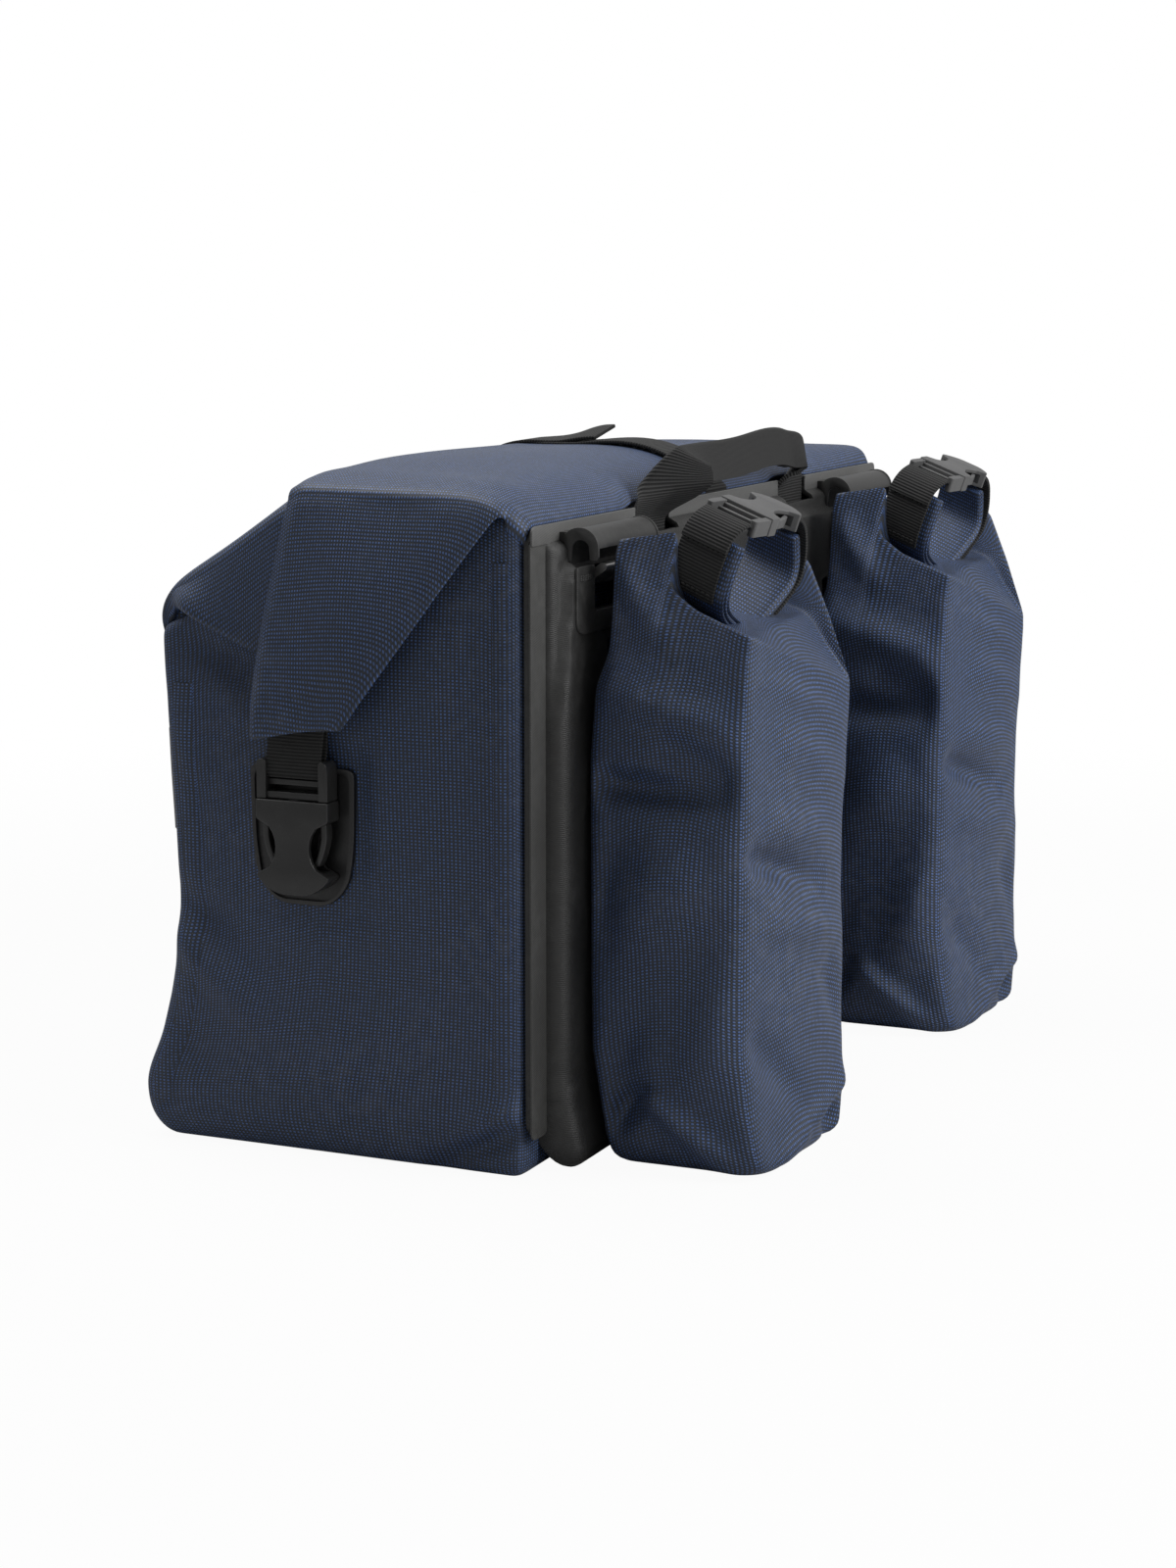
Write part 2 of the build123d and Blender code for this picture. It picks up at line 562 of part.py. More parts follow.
with BuildPart() as latch_springs:
    for centre in HOOK_CENTRES.values():
        inner = centre - (1 if centre > 0 else -1) * (HOOK_LENGTH / 2 + 2)
        way = -1 if centre > 0 else 1
        for turn in range(SPRING_TURNS):
            with BuildSketch(across(inner + way * turn * (SPRING_WIRE * 1.2))):
                with Locations((SHAFT_Y, LATCH_SHAFT_HEIGHT)):
                    Circle(LATCH_SHAFT_RADIUS + 0.3 + SPRING_WIRE)
                    Circle(LATCH_SHAFT_RADIUS + 0.3, mode=Mode.SUBTRACT)
            extrude(amount=SPRING_WIRE * 1.2 * way)
save(latch_springs.part, "latch_springs")

# ---------------------------------------------------------------- carry handle
LEG_Y = BACK_Y - LEG_GAP
leg_top = GRIP_HEIGHT - GRIP_SHOULDER + 2
with BuildPart() as carry_handle:
    with BuildSketch(along(LEG_Y)):
        for centre in LEG_CENTRES.values():
            with Locations((centre, (HANDLE_LEG_FOOT + leg_top) / 2)):
                Rectangle(HANDLE_WEBBING, leg_top - HANDLE_LEG_FOOT)
    extrude(amount=WEBBING_THICKNESS)
    with BuildSketch(along(LEG_Y)):
        with BuildLine() as grip_line:
            Polyline(
                (LEG_CENTRES["near"], GRIP_HEIGHT - GRIP_SHOULDER),
                (LEG_CENTRES["near"] + HANDLE_WEBBING / 2, GRIP_HEIGHT),
                (0, GRIP_HEIGHT + GRIP_RISE),
                (LEG_CENTRES["far"] - HANDLE_WEBBING / 2, GRIP_HEIGHT),
                (LEG_CENTRES["far"], GRIP_HEIGHT - GRIP_SHOULDER),
            )
        trace(grip_line.line, line_width=GRIP_WIDTH)
    extrude(amount=GRIP_THICKNESS)
save(carry_handle.part, "carry_handle")


# ---------------------------------------------------------------- side-release buckle
def buckle_female(plane):
    """Female half. Local X across, local Y towards the male half, local Z outwards."""
    with BuildPart() as female:
        with BuildSketch(plane):
            with BuildLine():
                Polyline(
                    (-BUCKLE_WIDTH / 2, FEMALE_LENGTH),
                    (-BUCKLE_WIDTH / 2, 9),
                    (-BUCKLE_WIDTH / 4, 1),
                    (0, 0),
                    (BUCKLE_WIDTH / 4, 1),
                    (BUCKLE_WIDTH / 2, 9),
                    (BUCKLE_WIDTH / 2, FEMALE_LENGTH),
                    close=True,
                )
            make_face()
        extrude(amount=BUCKLE_THICKNESS)
        # mouth for the male half
        with BuildSketch(plane.offset(BUCKLE_WALL)):
            with Locations((0, FEMALE_LENGTH - (PRONG_LENGTH + 2) / 2 + 0.5)):
                Rectangle(BUCKLE_WIDTH - 2 * BUCKLE_WALL, PRONG_LENGTH + 3)
        extrude(amount=BUCKLE_THICKNESS - 2 * BUCKLE_WALL, mode=Mode.SUBTRACT)
        # catch windows at both sides
        with BuildSketch(plane):
            for side in (-1, 1):
                with Locations((side * BUCKLE_WIDTH / 2, FEMALE_LENGTH - PRONG_LENGTH + 8)):
                    Ellipse(CATCH_DEPTH, CATCH_LENGTH / 2)
        extrude(amount=BUCKLE_THICKNESS, mode=Mode.SUBTRACT)
    return female.part


def buckle_male(plane):
    """Male half: frame, webbing bar, guide tongue and two side arms."""
    arm_x = BUCKLE_WIDTH / 2 - BUCKLE_WALL - SLIDE_GAP - PRONG_WIDTH / 2
    arm_thickness = BUCKLE_THICKNESS - 2 * BUCKLE_WALL - 2 * SLIDE_GAP
    shoulder = FEMALE_LENGTH + SLIDE_GAP
    with BuildPart() as male:
        with BuildSketch(plane.offset(BUCKLE_WALL + SLIDE_GAP)):
            for side in (-1, 1):
                with Locations((side * arm_x, shoulder - PRONG_LENGTH / 2)):
                    Rectangle(PRONG_WIDTH, PRONG_LENGTH)
                post_x = (BUCKLE_WIDTH / 2 + BUCKLE_WEBBING / 2 + SLIDE_GAP) / 2
                with Locations((side * post_x, shoulder + MALE_FRAME_LENGTH / 2)):
                    Rectangle(BUCKLE_WIDTH / 2 - BUCKLE_WEBBING / 2 - SLIDE_GAP,
                              MALE_FRAME_LENGTH)
            with Locations((0, shoulder + SHOULDER_LENGTH / 2)):
                Rectangle(BUCKLE_WIDTH, SHOULDER_LENGTH)
            with Locations((0, shoulder + BAR_PLACE)):
                Rectangle(BUCKLE_WIDTH, BAR_LENGTH)
            with Locations((0, shoulder - PRONG_LENGTH / 4)):
                Rectangle(PRONG_WIDTH, PRONG_LENGTH / 2)
        extrude(amount=arm_thickness)
    return male.part


def buckle_webbing(plane, length):
    """Webbing end standing on the male half's bar."""
    with BuildPart() as webbing:
        with BuildSketch(plane.offset(BUCKLE_THICKNESS / 2 - 1.2)):
            with Locations((0, BUCKLE_BAR_TOP + length / 2)):
                Rectangle(BUCKLE_WEBBING, length)
        extrude(amount=RING_WEBBING_THICKNESS + 0.6)
    return webbing.part


for name, side in SIDES.items():
    with BuildPart() as patch:
        patch_centre = (BACK_Y + BUCKLE_CENTRE_DEPTH,
                        BUCKLE_FOOT_HEIGHT - PATCH_MARGIN + PATCH_HEIGHT / 2)
        with BuildSketch(across(side * HALF)):
            with Locations(patch_centre):
                RectangleRounded(PATCH_WIDTH, PATCH_HEIGHT, PATCH_WIDTH * 0.25)
        extrude(amount=side * PATCH_THICKNESS)
    save(patch.part, f"buckle_patch_{name}")
    face = Plane(
        origin=(side * (HALF + PATCH_THICKNESS), BACK_Y + BUCKLE_CENTRE_DEPTH,
                BUCKLE_FOOT_HEIGHT),
        x_dir=(0, side, 0),
        z_dir=(side, 0, 0),
    )
    save(buckle_female(face), f"buckle_female_{name}")
    save(buckle_male(face), f"buckle_male_{name}")
    save(buckle_webbing(face.offset(-2.0), CLOSURE_WEBBING_LENGTH), f"closure_webbing_{name}")

# ---------------------------------------------------------------- small bags
SMALL_BACK_Y = BACK_Y - SMALL_BACK_DEPTH
SMALL_FRONT_Y = BACK_Y - SMALL_REACH


def ring_plane(centre):
    """Plane of a ring's side view: X along the roll, Y up the lean, Z across the band."""
    run = Vector(cos(radians(RING_TURN)), -sin(radians(RING_TURN)), 0)
    up = Vector(0, 0, 1).rotate(Axis((0, 0, 0), tuple(run)), RING_LEAN)
    return Plane(
        origin=(centre, BACK_Y - RING_DEPTH, RING_HEIGHT),
        x_dir=tuple(run),
        z_dir=tuple(run.cross(up)),
    )


def small_bag_solid(centre, shrink):
    """Lofted body of a small bag, or of its inside when shrink is the wall."""
    # height, back and front depths from the main bag's back, width
    sections = [
        (0.5 + shrink, SMALL_FOOT_DEPTH, SMALL_REACH - 5, SMALL_WIDTH - 8),
        (SMALL_FOOT_RISE, BUMPER_DEPTH + SMALL_FOOT_GAP / 2, SMALL_REACH, SMALL_WIDTH),
        (2 * SMALL_FOOT_RISE, SMALL_BACK_DEPTH, SMALL_REACH, SMALL_WIDTH),
        (SMALL_SHOULDER_HEIGHT, SMALL_BACK_DEPTH, SMALL_REACH, SMALL_WIDTH - 2),
        (SMALL_NECK_HEIGHT - shrink, SMALL_BACK_DEPTH + 9, SMALL_REACH - 5, SMALL_WIDTH - 8),
    ]
    top = ring_plane(centre)
    base = Plane(origin=top.origin - top.y_dir * shrink, x_dir=top.x_dir, z_dir=top.y_dir)
    with BuildPart() as solid:
        for z, back, front, width in sections:
            with BuildSketch(Plane.XY.offset(z)):
                with Locations((centre, BACK_Y - (back + front) / 2)):
                    RectangleRounded(width - 2 * shrink, front - back - 2 * shrink,
                                     SMALL_CORNER - shrink)
        with BuildSketch(base):
            RectangleRounded(2 * RING_FOOT_HALF + RING_BAND - 2 * shrink,
                             RING_WIDTH - 2 * shrink, SMALL_CORNER / 2 - shrink)
        loft(ruled=True)
    return solid.part


def ring_profile(plane, half, line_width, points):
    """A band of the given half width that follows points in the ring's side view."""
    with BuildPart() as band:
        with BuildSketch(plane.offset(-half)):
            with BuildLine() as path:
                Polyline(*points)
            trace(path.line, line_width=line_width)
        extrude(amount=2 * half)
    return band.part


for name, centre in SMALL_CENTRES.items():
    ring = ring_plane(centre)
    body = small_bag_solid(centre, 0) - small_bag_solid(centre, SMALL_WALL)
    save(body, f"small_bag_{name}")

    half_run = RING_FOOT_HALF
    band_points = [
        (-half_run + 15, RING_RISE - 7),
        (-half_run + 2, RING_RISE * 0.42),
        (-half_run + 7, RING_BAND / 2),
        (half_run - 7, RING_BAND / 2),
        (half_run - 1, RING_RISE * 0.42),
        (half_run - 1, RING_RISE - 4),
    ]
    save(ring_profile(ring, RING_WIDTH / 2, RING_BAND, band_points), f"roll_band_{name}")

    # buckle across the top of the ring, its male half towards the near end
    buckle_plane = Plane(
        origin=ring.origin + ring.x_dir * (half_run + 2) + ring.y_dir * (RING_RISE + 1),
        x_dir=-ring.z_dir,
        z_dir=ring.y_dir,
    )
    save(buckle_female(buckle_plane), f"ring_female_{name}")
    save(buckle_male(buckle_plane), f"ring_male_{name}")
    save(buckle_webbing(buckle_plane, RING_WEBBING_LENGTH), f"ring_webbing_{name}")

    # webbing on the outside of the far arm, up to the female half
    arm_x = half_run - 1 + RING_BAND / 2 + RING_WEBBING_THICKNESS / 2
    arm_points = [(arm_x, 6), (arm_x, RING_RISE + 1 + BUCKLE_THICKNESS / 2)]
    save(ring_profile(ring, BUCKLE_WEBBING / 2, RING_WEBBING_THICKNESS, arm_points),
         f"arm_webbing_{name}")

    # hook on the small bag's back
    bar_outer = POD_INNER_Y
    bar_inner = bar_outer + HANGER_BAR_THICKNESS
    bar_top = HANGER_BAR_FOOT + HANGER_BAR_HEIGHT
    lip_foot = bar_top - HOOK_LIP_DEPTH
    with BuildPart() as hanger_hook:
        with BuildSketch(across(centre - HANGER_WIDTH / 2)):
            with BuildLine():
                Polyline(
                    (SMALL_BACK_Y, HANGER_BAR_FOOT - HOOK_BELOW),
                    (bar_outer - SLIDE_GAP, HANGER_BAR_FOOT - HOOK_BELOW),
                    (bar_outer - SLIDE_GAP, bar_top + SLIDE_GAP),
                    (bar_inner + SLIDE_GAP, bar_top + SLIDE_GAP),
                    (bar_inner + SLIDE_GAP, lip_foot),
                    (bar_inner + SLIDE_GAP + HOOK_LIP, lip_foot),
                    (bar_inner + SLIDE_GAP + HOOK_LIP, bar_top + HOOK_BELOW),
                    (SMALL_BACK_Y, bar_top + HOOK_BELOW),
                    close=True,
                )
            make_face()
        extrude(amount=HANGER_WIDTH)
    save(hanger_hook.part, f"hanger_hook_{name}")

    with BuildPart() as hanger_bar:
        with BuildSketch(along(bar_inner)):
            with Locations((centre, HANGER_BAR_FOOT + HANGER_BAR_HEIGHT / 2)):
                Rectangle(HANGER_WIDTH + 2 * HANGER_BAR_SPARE, HANGER_BAR_HEIGHT)
            with Locations(*[p for p in HANGER_SCREWS if abs(p[0] - centre) < HANGER_WIDTH]):
                Circle(SCREW_RADIUS + SCREW_GAP, mode=Mode.SUBTRACT)
        extrude(amount=HANGER_BAR_THICKNESS)
    save(hanger_bar.part, f"hanger_bar_{name}")

panel_screws(HANGER_SCREWS, POD_INNER_Y, "hanger_screws")
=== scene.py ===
"""Looks of a roll-top pannier bag with two small side bags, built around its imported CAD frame.

Every object is in metres, in the frame of the CAD model: +X along the bag, +Y from the
rack side to the outer face, +Z up, and the ground at zero.
"""
import logging
import math
import zlib
from dataclasses import dataclass, field
from enum import Enum
from functools import cache
from typing import Callable, Sequence

import bpy
import numpy as np
from mathutils import Matrix, Vector


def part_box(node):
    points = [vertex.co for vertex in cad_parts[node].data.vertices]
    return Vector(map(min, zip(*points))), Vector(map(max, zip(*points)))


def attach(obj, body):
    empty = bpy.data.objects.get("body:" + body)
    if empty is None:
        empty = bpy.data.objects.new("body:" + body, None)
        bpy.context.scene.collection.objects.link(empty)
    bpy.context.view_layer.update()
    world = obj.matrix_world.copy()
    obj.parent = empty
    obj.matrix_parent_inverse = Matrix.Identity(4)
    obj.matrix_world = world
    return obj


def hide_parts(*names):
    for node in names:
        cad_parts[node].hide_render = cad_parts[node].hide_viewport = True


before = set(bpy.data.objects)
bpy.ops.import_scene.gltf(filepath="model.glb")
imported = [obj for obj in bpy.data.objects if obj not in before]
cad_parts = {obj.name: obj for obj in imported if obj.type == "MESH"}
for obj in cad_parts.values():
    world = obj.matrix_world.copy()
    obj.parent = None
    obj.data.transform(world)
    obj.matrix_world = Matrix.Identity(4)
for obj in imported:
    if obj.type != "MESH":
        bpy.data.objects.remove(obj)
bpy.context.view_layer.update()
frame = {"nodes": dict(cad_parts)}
LOG = logging.getLogger("pannier")
MM = 0.001
TINY = 1e-9
# Bends up to this many degrees are shaded smooth, on cloth and on hard parts.
CLOTH_TURN = 60.0
EDGE_TURN = 35.0
Colour = tuple[float, float, float, float]
Array = np.ndarray
Piece = bpy.types.Object
Socket = bpy.types.NodeSocket


class End(Enum):
    """The two ends of the bag: the one towards the camera and the other one."""

    NEAR = "near"
    FAR = "far"

    @property
    def side(self) -> int:
        """Sign of X at this end."""
        return -1 if self is End.NEAR else 1


# ---- node and mesh helpers
class Wiring:
    """Adds and joins nodes in one node tree."""

    def __init__(self, tree: bpy.types.NodeTree) -> None:
        """Keeps the node tree of a material, a group or a world."""
        self.tree = tree

    def feed(self, socket: Socket, value: object) -> None:
        """Links an output to a socket, or sets the socket's own value."""
        if isinstance(value, Socket):
            self.tree.links.new(value, socket)
        else:
            socket.default_value = value

    def fill(self, node: bpy.types.Node, inputs: dict[str | int, object]) -> None:
        """Links or sets several inputs of a node, given by name or by number."""
        for key, value in inputs.items():
            self.feed(node.inputs[key], value)

    def node(self, kind: str, inputs: dict[str | int, object] | None = None,
             **settings: object) -> bpy.types.Node:
        """Adds a node, sets its properties and fills its inputs."""
        made = self.tree.nodes.new(kind)
        for key, value in settings.items():
            setattr(made, key, value)
        self.fill(made, inputs or {})
        return made

    def math(self, operation: str, *values: object) -> Socket:
        """A Math node over sockets or numbers."""
        return self.node("ShaderNodeMath", dict(enumerate(values)), operation=operation).outputs[0]

    def times(self, first: object, second: object) -> Socket:
        """The product of two sockets or numbers."""
        return self.math("MULTIPLY", first, second)

    def plus(self, first: object, second: object) -> Socket:
        """The sum of two sockets or numbers."""
        return self.math("ADD", first, second)

    def minus(self, first: object, second: object) -> Socket:
        """The first socket or number less the second."""
        return self.math("SUBTRACT", first, second)

    def off_middle(self, value: object) -> Socket:
        """How far a value lies from the middle of its cell, in cells."""
        return self.math("ABSOLUTE", self.minus(self.math("FRACT", value), 0.5))

    def ramp(self, value: object, low: float, high: float,
             start: float = 0.0, end: float = 1.0) -> Socket:
        """A smooth step from start to end while value goes from low to high."""
        inputs = {"Value": value, "From Min": low, "From Max": high, "To Min": start, "To Max": end}
        made = self.node("ShaderNodeMapRange", inputs, interpolation_type="SMOOTHSTEP")
        return made.outputs["Result"]

    def mix(self, factor: object, first: object, second: object) -> Socket:
        """Mixes two colours."""
        made = self.node("ShaderNodeMix", data_type="RGBA")
        self.fill(made, {"Factor": factor, 6: first, 7: second})
        return made.outputs[2]

    def noise(self, vector: object, scale: float, detail: float = 2.0) -> Socket:
        """A noise texture's value."""
        inputs = {"Vector": vector, "Scale": scale, "Detail": detail}
        return self.node("ShaderNodeTexNoise", inputs).outputs["Fac"]

    def split(self, vector: object) -> bpy.types.bpy_prop_collection:
        """A vector's three parts."""
        return self.node("ShaderNodeSeparateXYZ", {0: vector}).outputs

    def weave_map(self) -> Socket:
        """Where a point lies on its flat cloth, in metres."""
        return self.node("ShaderNodeUVMap", uv_map="weave").outputs["UV"]

    def space(self) -> Socket:
        """Object coordinates."""
        return self.node("ShaderNodeTexCoord").outputs["Object"]


def new_group(name: str, inputs: dict[str, str], outputs: dict[str, str]) -> bpy.types.NodeTree:
    """Makes a shader node group whose sockets are given by name and kind."""
    group = bpy.data.node_groups.new(name, "ShaderNodeTree")
    for way, sockets in (("INPUT", inputs), ("OUTPUT", outputs)):
        for label, kind in sockets.items():
            group.interface.new_socket(name=label, in_out=way, socket_type=f"NodeSocket{kind}")
    group.nodes.new("NodeGroupInput")
    group.nodes.new("NodeGroupOutput")
    return group


def rgb(red: float, green: float, blue: float) -> Colour:
    """A linear colour with full alpha."""
    return (red, green, blue, 1.0)


def grey(value: float) -> Colour:
    """A linear grey."""
    return rgb(value, value, value)


def dimmed(colour: Colour, share: float) -> Colour:
    """A colour with its channels brought down to a share."""
    return rgb(*(channel * share for channel in colour[:3]))


def linked(name: str, data: bpy.types.ID) -> Piece:
    """A new object in the scene."""
    made = bpy.data.objects.new(name, data)
    bpy.context.scene.collection.objects.link(made)
    return made


def deselect() -> None:
    """Deselects every object."""
    bpy.ops.object.select_all(action="DESELECT")


def enter(mode: str) -> None:
    """Switches the active object to a mode, EDIT or OBJECT."""
    bpy.ops.object.mode_set(mode=mode)


def activate(piece: Piece) -> None:
    """Makes a piece the only selected and the active object."""
    deselect()
    piece.select_set(True)
    bpy.context.view_layer.objects.active = piece


def modify(piece: Piece, kind: str, **settings: object) -> None:
    """Adds a modifier to a piece and applies it."""
    activate(piece)
    modifier = piece.modifiers.new(kind.lower(), kind)
    for key, value in settings.items():
        setattr(modifier, key, value)
    bpy.ops.object.modifier_apply(modifier=modifier.name)


def hand_in(piece: Piece, finish: "Finish", body: str, *replaced: str,
            angle: float = EDGE_TURN) -> None:
    """Smooths a finished piece and gives it its finish and its body.

    Args:
        piece: the finished object; its place is applied into its mesh.
        finish: the finish, which also gives the slot.
        body: the moving body that the piece rides on.
        replaced: the CAD nodes that it stands for.
        angle: bends up to this many degrees are shaded smooth.
    """
    activate(piece)
    bpy.ops.object.transform_apply(location=True, rotation=True, scale=True)
    bpy.ops.object.shade_smooth_by_angle(angle=math.radians(angle))
    piece.data.materials.clear()
    piece.data.materials.append(finish.material())
    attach(piece, body)
    if replaced:
        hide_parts(*replaced)
    LOG.info("made %s on %s", piece.name, body)


def lofted(name: str, points: Array, weave: Array, closed: bool = False,
           turned: Callable[[int, int], bool] | None = None,
           kept: Callable[[int, int], bool] | None = None) -> Piece:
    """A quad surface through rows of points.

    Args:
        name: the object's name.
        points: rows by columns by three, in metres.
        weave: rows by columns by two, where the cloth lies flat, in metres. A closed
            surface has one more column here than in points.
        closed: whether the last column joins the first.
        turned: tells by row and column whether the weave of that face is turned a quarter.
        kept: tells by row and column whether that face is made at all.

    Returns:
        The new object.
    """
    rows, columns = points.shape[:2]
    spans = columns if closed else columns - 1
    faces = []
    flat = []
    for row in range(rows - 1):
        for column in range(spans):
            if kept and not kept(row, column):
                continue
            after = (column + 1) % columns
            faces.append((row * columns + column, row * columns + after,
                          (row + 1) * columns + after, (row + 1) * columns + column))
            corner = [weave[row, column], weave[row, column + 1],
                      weave[row + 1, column + 1], weave[row + 1, column]]
            if turned and turned(row, column):
                corner = [(v, u) for u, v in corner]
            flat.extend(corner)
    mesh = bpy.data.meshes.new(name)
    mesh.from_pydata(points.reshape(-1, 3).tolist(), [], faces)
    layer = mesh.uv_layers.new(name="weave")
    layer.data.foreach_set("uv", np.array(flat, np.float32).ravel())
    return linked(name, mesh)


def close_ends(piece: Piece) -> None:
    """Fills the open ends of a lofted tube, maps them flat and turns the normals outwards."""
    walls = len(piece.data.polygons)
    activate(piece)
    enter("EDIT")
    bpy.ops.mesh.select_mode(type="EDGE")
    bpy.ops.mesh.select_all(action="DESELECT")
    bpy.ops.mesh.select_non_manifold()
    bpy.ops.mesh.edge_face_add()
    bpy.ops.mesh.select_all(action="SELECT")
    bpy.ops.mesh.normals_make_consistent(inside=False)
    enter("OBJECT")
    mesh = piece.data
    for face in mesh.polygons[walls:]:
        for loop in face.loop_indices:
            vertex = mesh.vertices[mesh.loops[loop].vertex_index]
            mesh.uv_layers["weave"].data[loop].uv = vertex.co.xy


def read_points(piece: Piece) -> Array:
    """The piece's vertices as an array."""
    flat = np.zeros(len(piece.data.vertices) * 3, np.float32)
    piece.data.vertices.foreach_get("co", flat)
    return flat.reshape(-1, 3).astype(float)


def write_points(piece: Piece, points: Array) -> None:
    """Puts an array back as the piece's vertices."""
    piece.data.vertices.foreach_set("co", points.astype(np.float32).ravel())
    piece.data.update()


def ease(value: Array | float, low: float, high: float) -> Array | float:
    """Zero below low, one above high, smooth between."""
    t = np.clip((value - low) / (high - low), 0.0, 1.0)
    return t * t * (3 - 2 * t)


def curve_through(knots: Sequence[tuple[float, float]], at: Array | float) -> Array:
    """A smooth curve through knots, with flat turns and no overshoot."""
    xs, ys = np.array(knots, float).T
    slopes = np.gradient(ys, xs)
    place = np.clip(np.searchsorted(xs, at) - 1, 0, len(xs) - 2)
    span = xs[place + 1] - xs[place]
    t = np.clip((at - xs[place]) / span, 0, 1)
    return ((2 * t**3 - 3 * t**2 + 1) * ys[place] + (t**3 - 2 * t**2 + t) * span * slopes[place]
            + (-2 * t**3 + 3 * t**2) * ys[place + 1] + (t**3 - t**2) * span * slopes[place + 1])


def plateau(value: Array, low: float, full: float, falling: float,
            high: float) -> Array:
    """One between full and falling, fading to zero at low and high."""
    return ease(value, low, full) * ease(-value, -high, -falling)


def arch(share: Array) -> Array:
    """Zero at zero and at one, and one half-way."""
    return np.clip(share, 0, 1) * np.clip(1 - share, 0, 1) * 4


def run_length(points: Array) -> Array:
    """How long the line through the points is, up to each of them."""
    return np.concatenate([[0], np.cumsum(np.linalg.norm(np.diff(points, axis=0), axis=1))])


def xyz(x: Array | float, y: Array | float, z: Array | float) -> Array:
    """Points from their three coordinates."""
    return np.stack(np.broadcast_arrays(x, y, z), axis=-1)


def unit(vectors: Array) -> Array:
    """Vectors brought to length one."""
    return vectors / np.linalg.norm(vectors, axis=-1, keepdims=True)


def flat_grid(along: Array, across: Array) -> Array:
    """A flat map for a grid of points, from its two rulers."""
    return np.stack(np.meshgrid(along, across, indexing="ij"), axis=-1)


def blend(first: Sequence[float], second: Sequence[float], share: float) -> Array:
    """The point at a share of the way from the first to the second."""
    return np.array(first) + (np.array(second) - first) * share


@dataclass(frozen=True)
class Fold:
    """A soft ridge or valley along a line on a panel, in millimetres."""

    start: tuple[float, float]
    end: tuple[float, float]
    width: float
    height: float

    def rise(self, u: Array, v: Array) -> Array:
        """How far the fold lifts each point of the panel, in metres."""
        a, b = np.array(self.start) * MM, np.array(self.end) * MM
        along = b - a
        t = np.clip(((u - a[0]) * along[0] + (v - a[1]) * along[1]) / (along @ along), 0, 1)
        away = np.hypot(u - a[0] - t * along[0], v - a[1] - t * along[1])
        fade = 0.35 + 0.65 * np.sin(math.pi * np.clip(t * 0.8 + 0.2, 0, 1))
        return self.height * MM * fade * np.exp(-((away / (self.width * MM)) ** 2))


def folds(*rows: tuple[float, ...]) -> tuple[Fold, ...]:
    """Folds from rows of start, end, width and height."""
    return tuple(Fold(row[:2], row[2:4], *row[4:]) for row in rows)


# ---- finishes
class Finish:
    """A material that is made once and then shared."""

    slot = ""

    def material(self) -> bpy.types.Material:
        """The finish's material, made the first time it is asked for."""
        name = f"{type(self).__name__}_{self.slot}_{zlib.crc32(repr(self).encode()) % 9973}"
        found = bpy.data.materials.get(name)
        if found:
            return found
        made = bpy.data.materials.new(name)
        made.use_nodes = True
        self.dress(Wiring(made.node_tree), made.node_tree.nodes["Principled BSDF"])
        return made

    def dress(self, net: Wiring, shader: bpy.types.Node) -> None:
        """Builds the finish's nodes."""
        raise NotImplementedError


def bump(net: Wiring, shader: bpy.types.Node, height: object, depth: float) -> None:
    """Feeds a height, in units of depth metres, into the shader's normal."""
    made = net.node("ShaderNodeBump", {"Strength": 1.0, "Distance": depth, "Height": height})
    net.feed(shader.inputs["Normal"], made.outputs["Normal"])


@cache
def grid_weave_group() -> bpy.types.NodeTree:
    """The coated cloth: rows of pale points on navy, with brown flecks between them."""
    group = new_group("grid weave", {"Place": "Vector"},
                      {"Color": "Color", "Height": "Float", "Point": "Float"})
    net = Wiring(group)
    place = group.nodes["Group Input"].outputs["Place"]
    cells = [net.math("DIVIDE", part, pitch)
             for part, pitch in zip(net.split(place), (0.00215, 0.0015))]
    floors = {i: net.math("FLOOR", cell) for i, cell in enumerate(cells)}
    index = net.node("ShaderNodeCombineXYZ", floors).outputs[0]
    chance = net.node("ShaderNodeTexWhiteNoise", {"Vector": index}, noise_dimensions="2D")

    def spot(shift: float, small: float, large: float) -> Socket:
        """A round spot in each cell, shifted by a share of the cell."""
        aways = [net.minus(net.math("FRACT", net.plus(cell, shift)), 0.5) for cell in cells]
        distance = net.math("SQRT", net.plus(*(net.times(away, away) for away in aways)))
        return net.ramp(distance, small, large, 1.0, 0.0)

    point = spot(0.0, 0.16, 0.36)
    fleck = spot(0.5, 0.04, 0.22)
    groove = net.ramp(net.off_middle(cells[0]), 0.36, 0.5, 0.0, 1.0)
    patchy = net.noise(place, 900.0, 1.0)
    ground = net.mix(net.times(groove, 0.3), rgb(0.017, 0.024, 0.038),
                     rgb(0.014, 0.015, 0.019))
    flecked = net.mix(net.times(fleck, net.ramp(patchy, 0.35, 0.7, 0.1, 0.9)),
                      ground, rgb(0.07, 0.062, 0.05))
    strong = net.times(net.ramp(patchy, 0.2, 0.6, 0.75, 1.0),
                       net.ramp(chance.outputs["Value"], 0.0, 1.0, 0.62, 1.0))
    height = net.plus(point, net.times(fleck, 0.4))
    net.fill(group.nodes["Group Output"], {
        "Color": net.mix(net.times(point, strong), flecked, rgb(0.085, 0.165, 0.42)),
        "Height": net.minus(height, net.times(groove, 0.25)),
        "Point": point,
    })
    return group


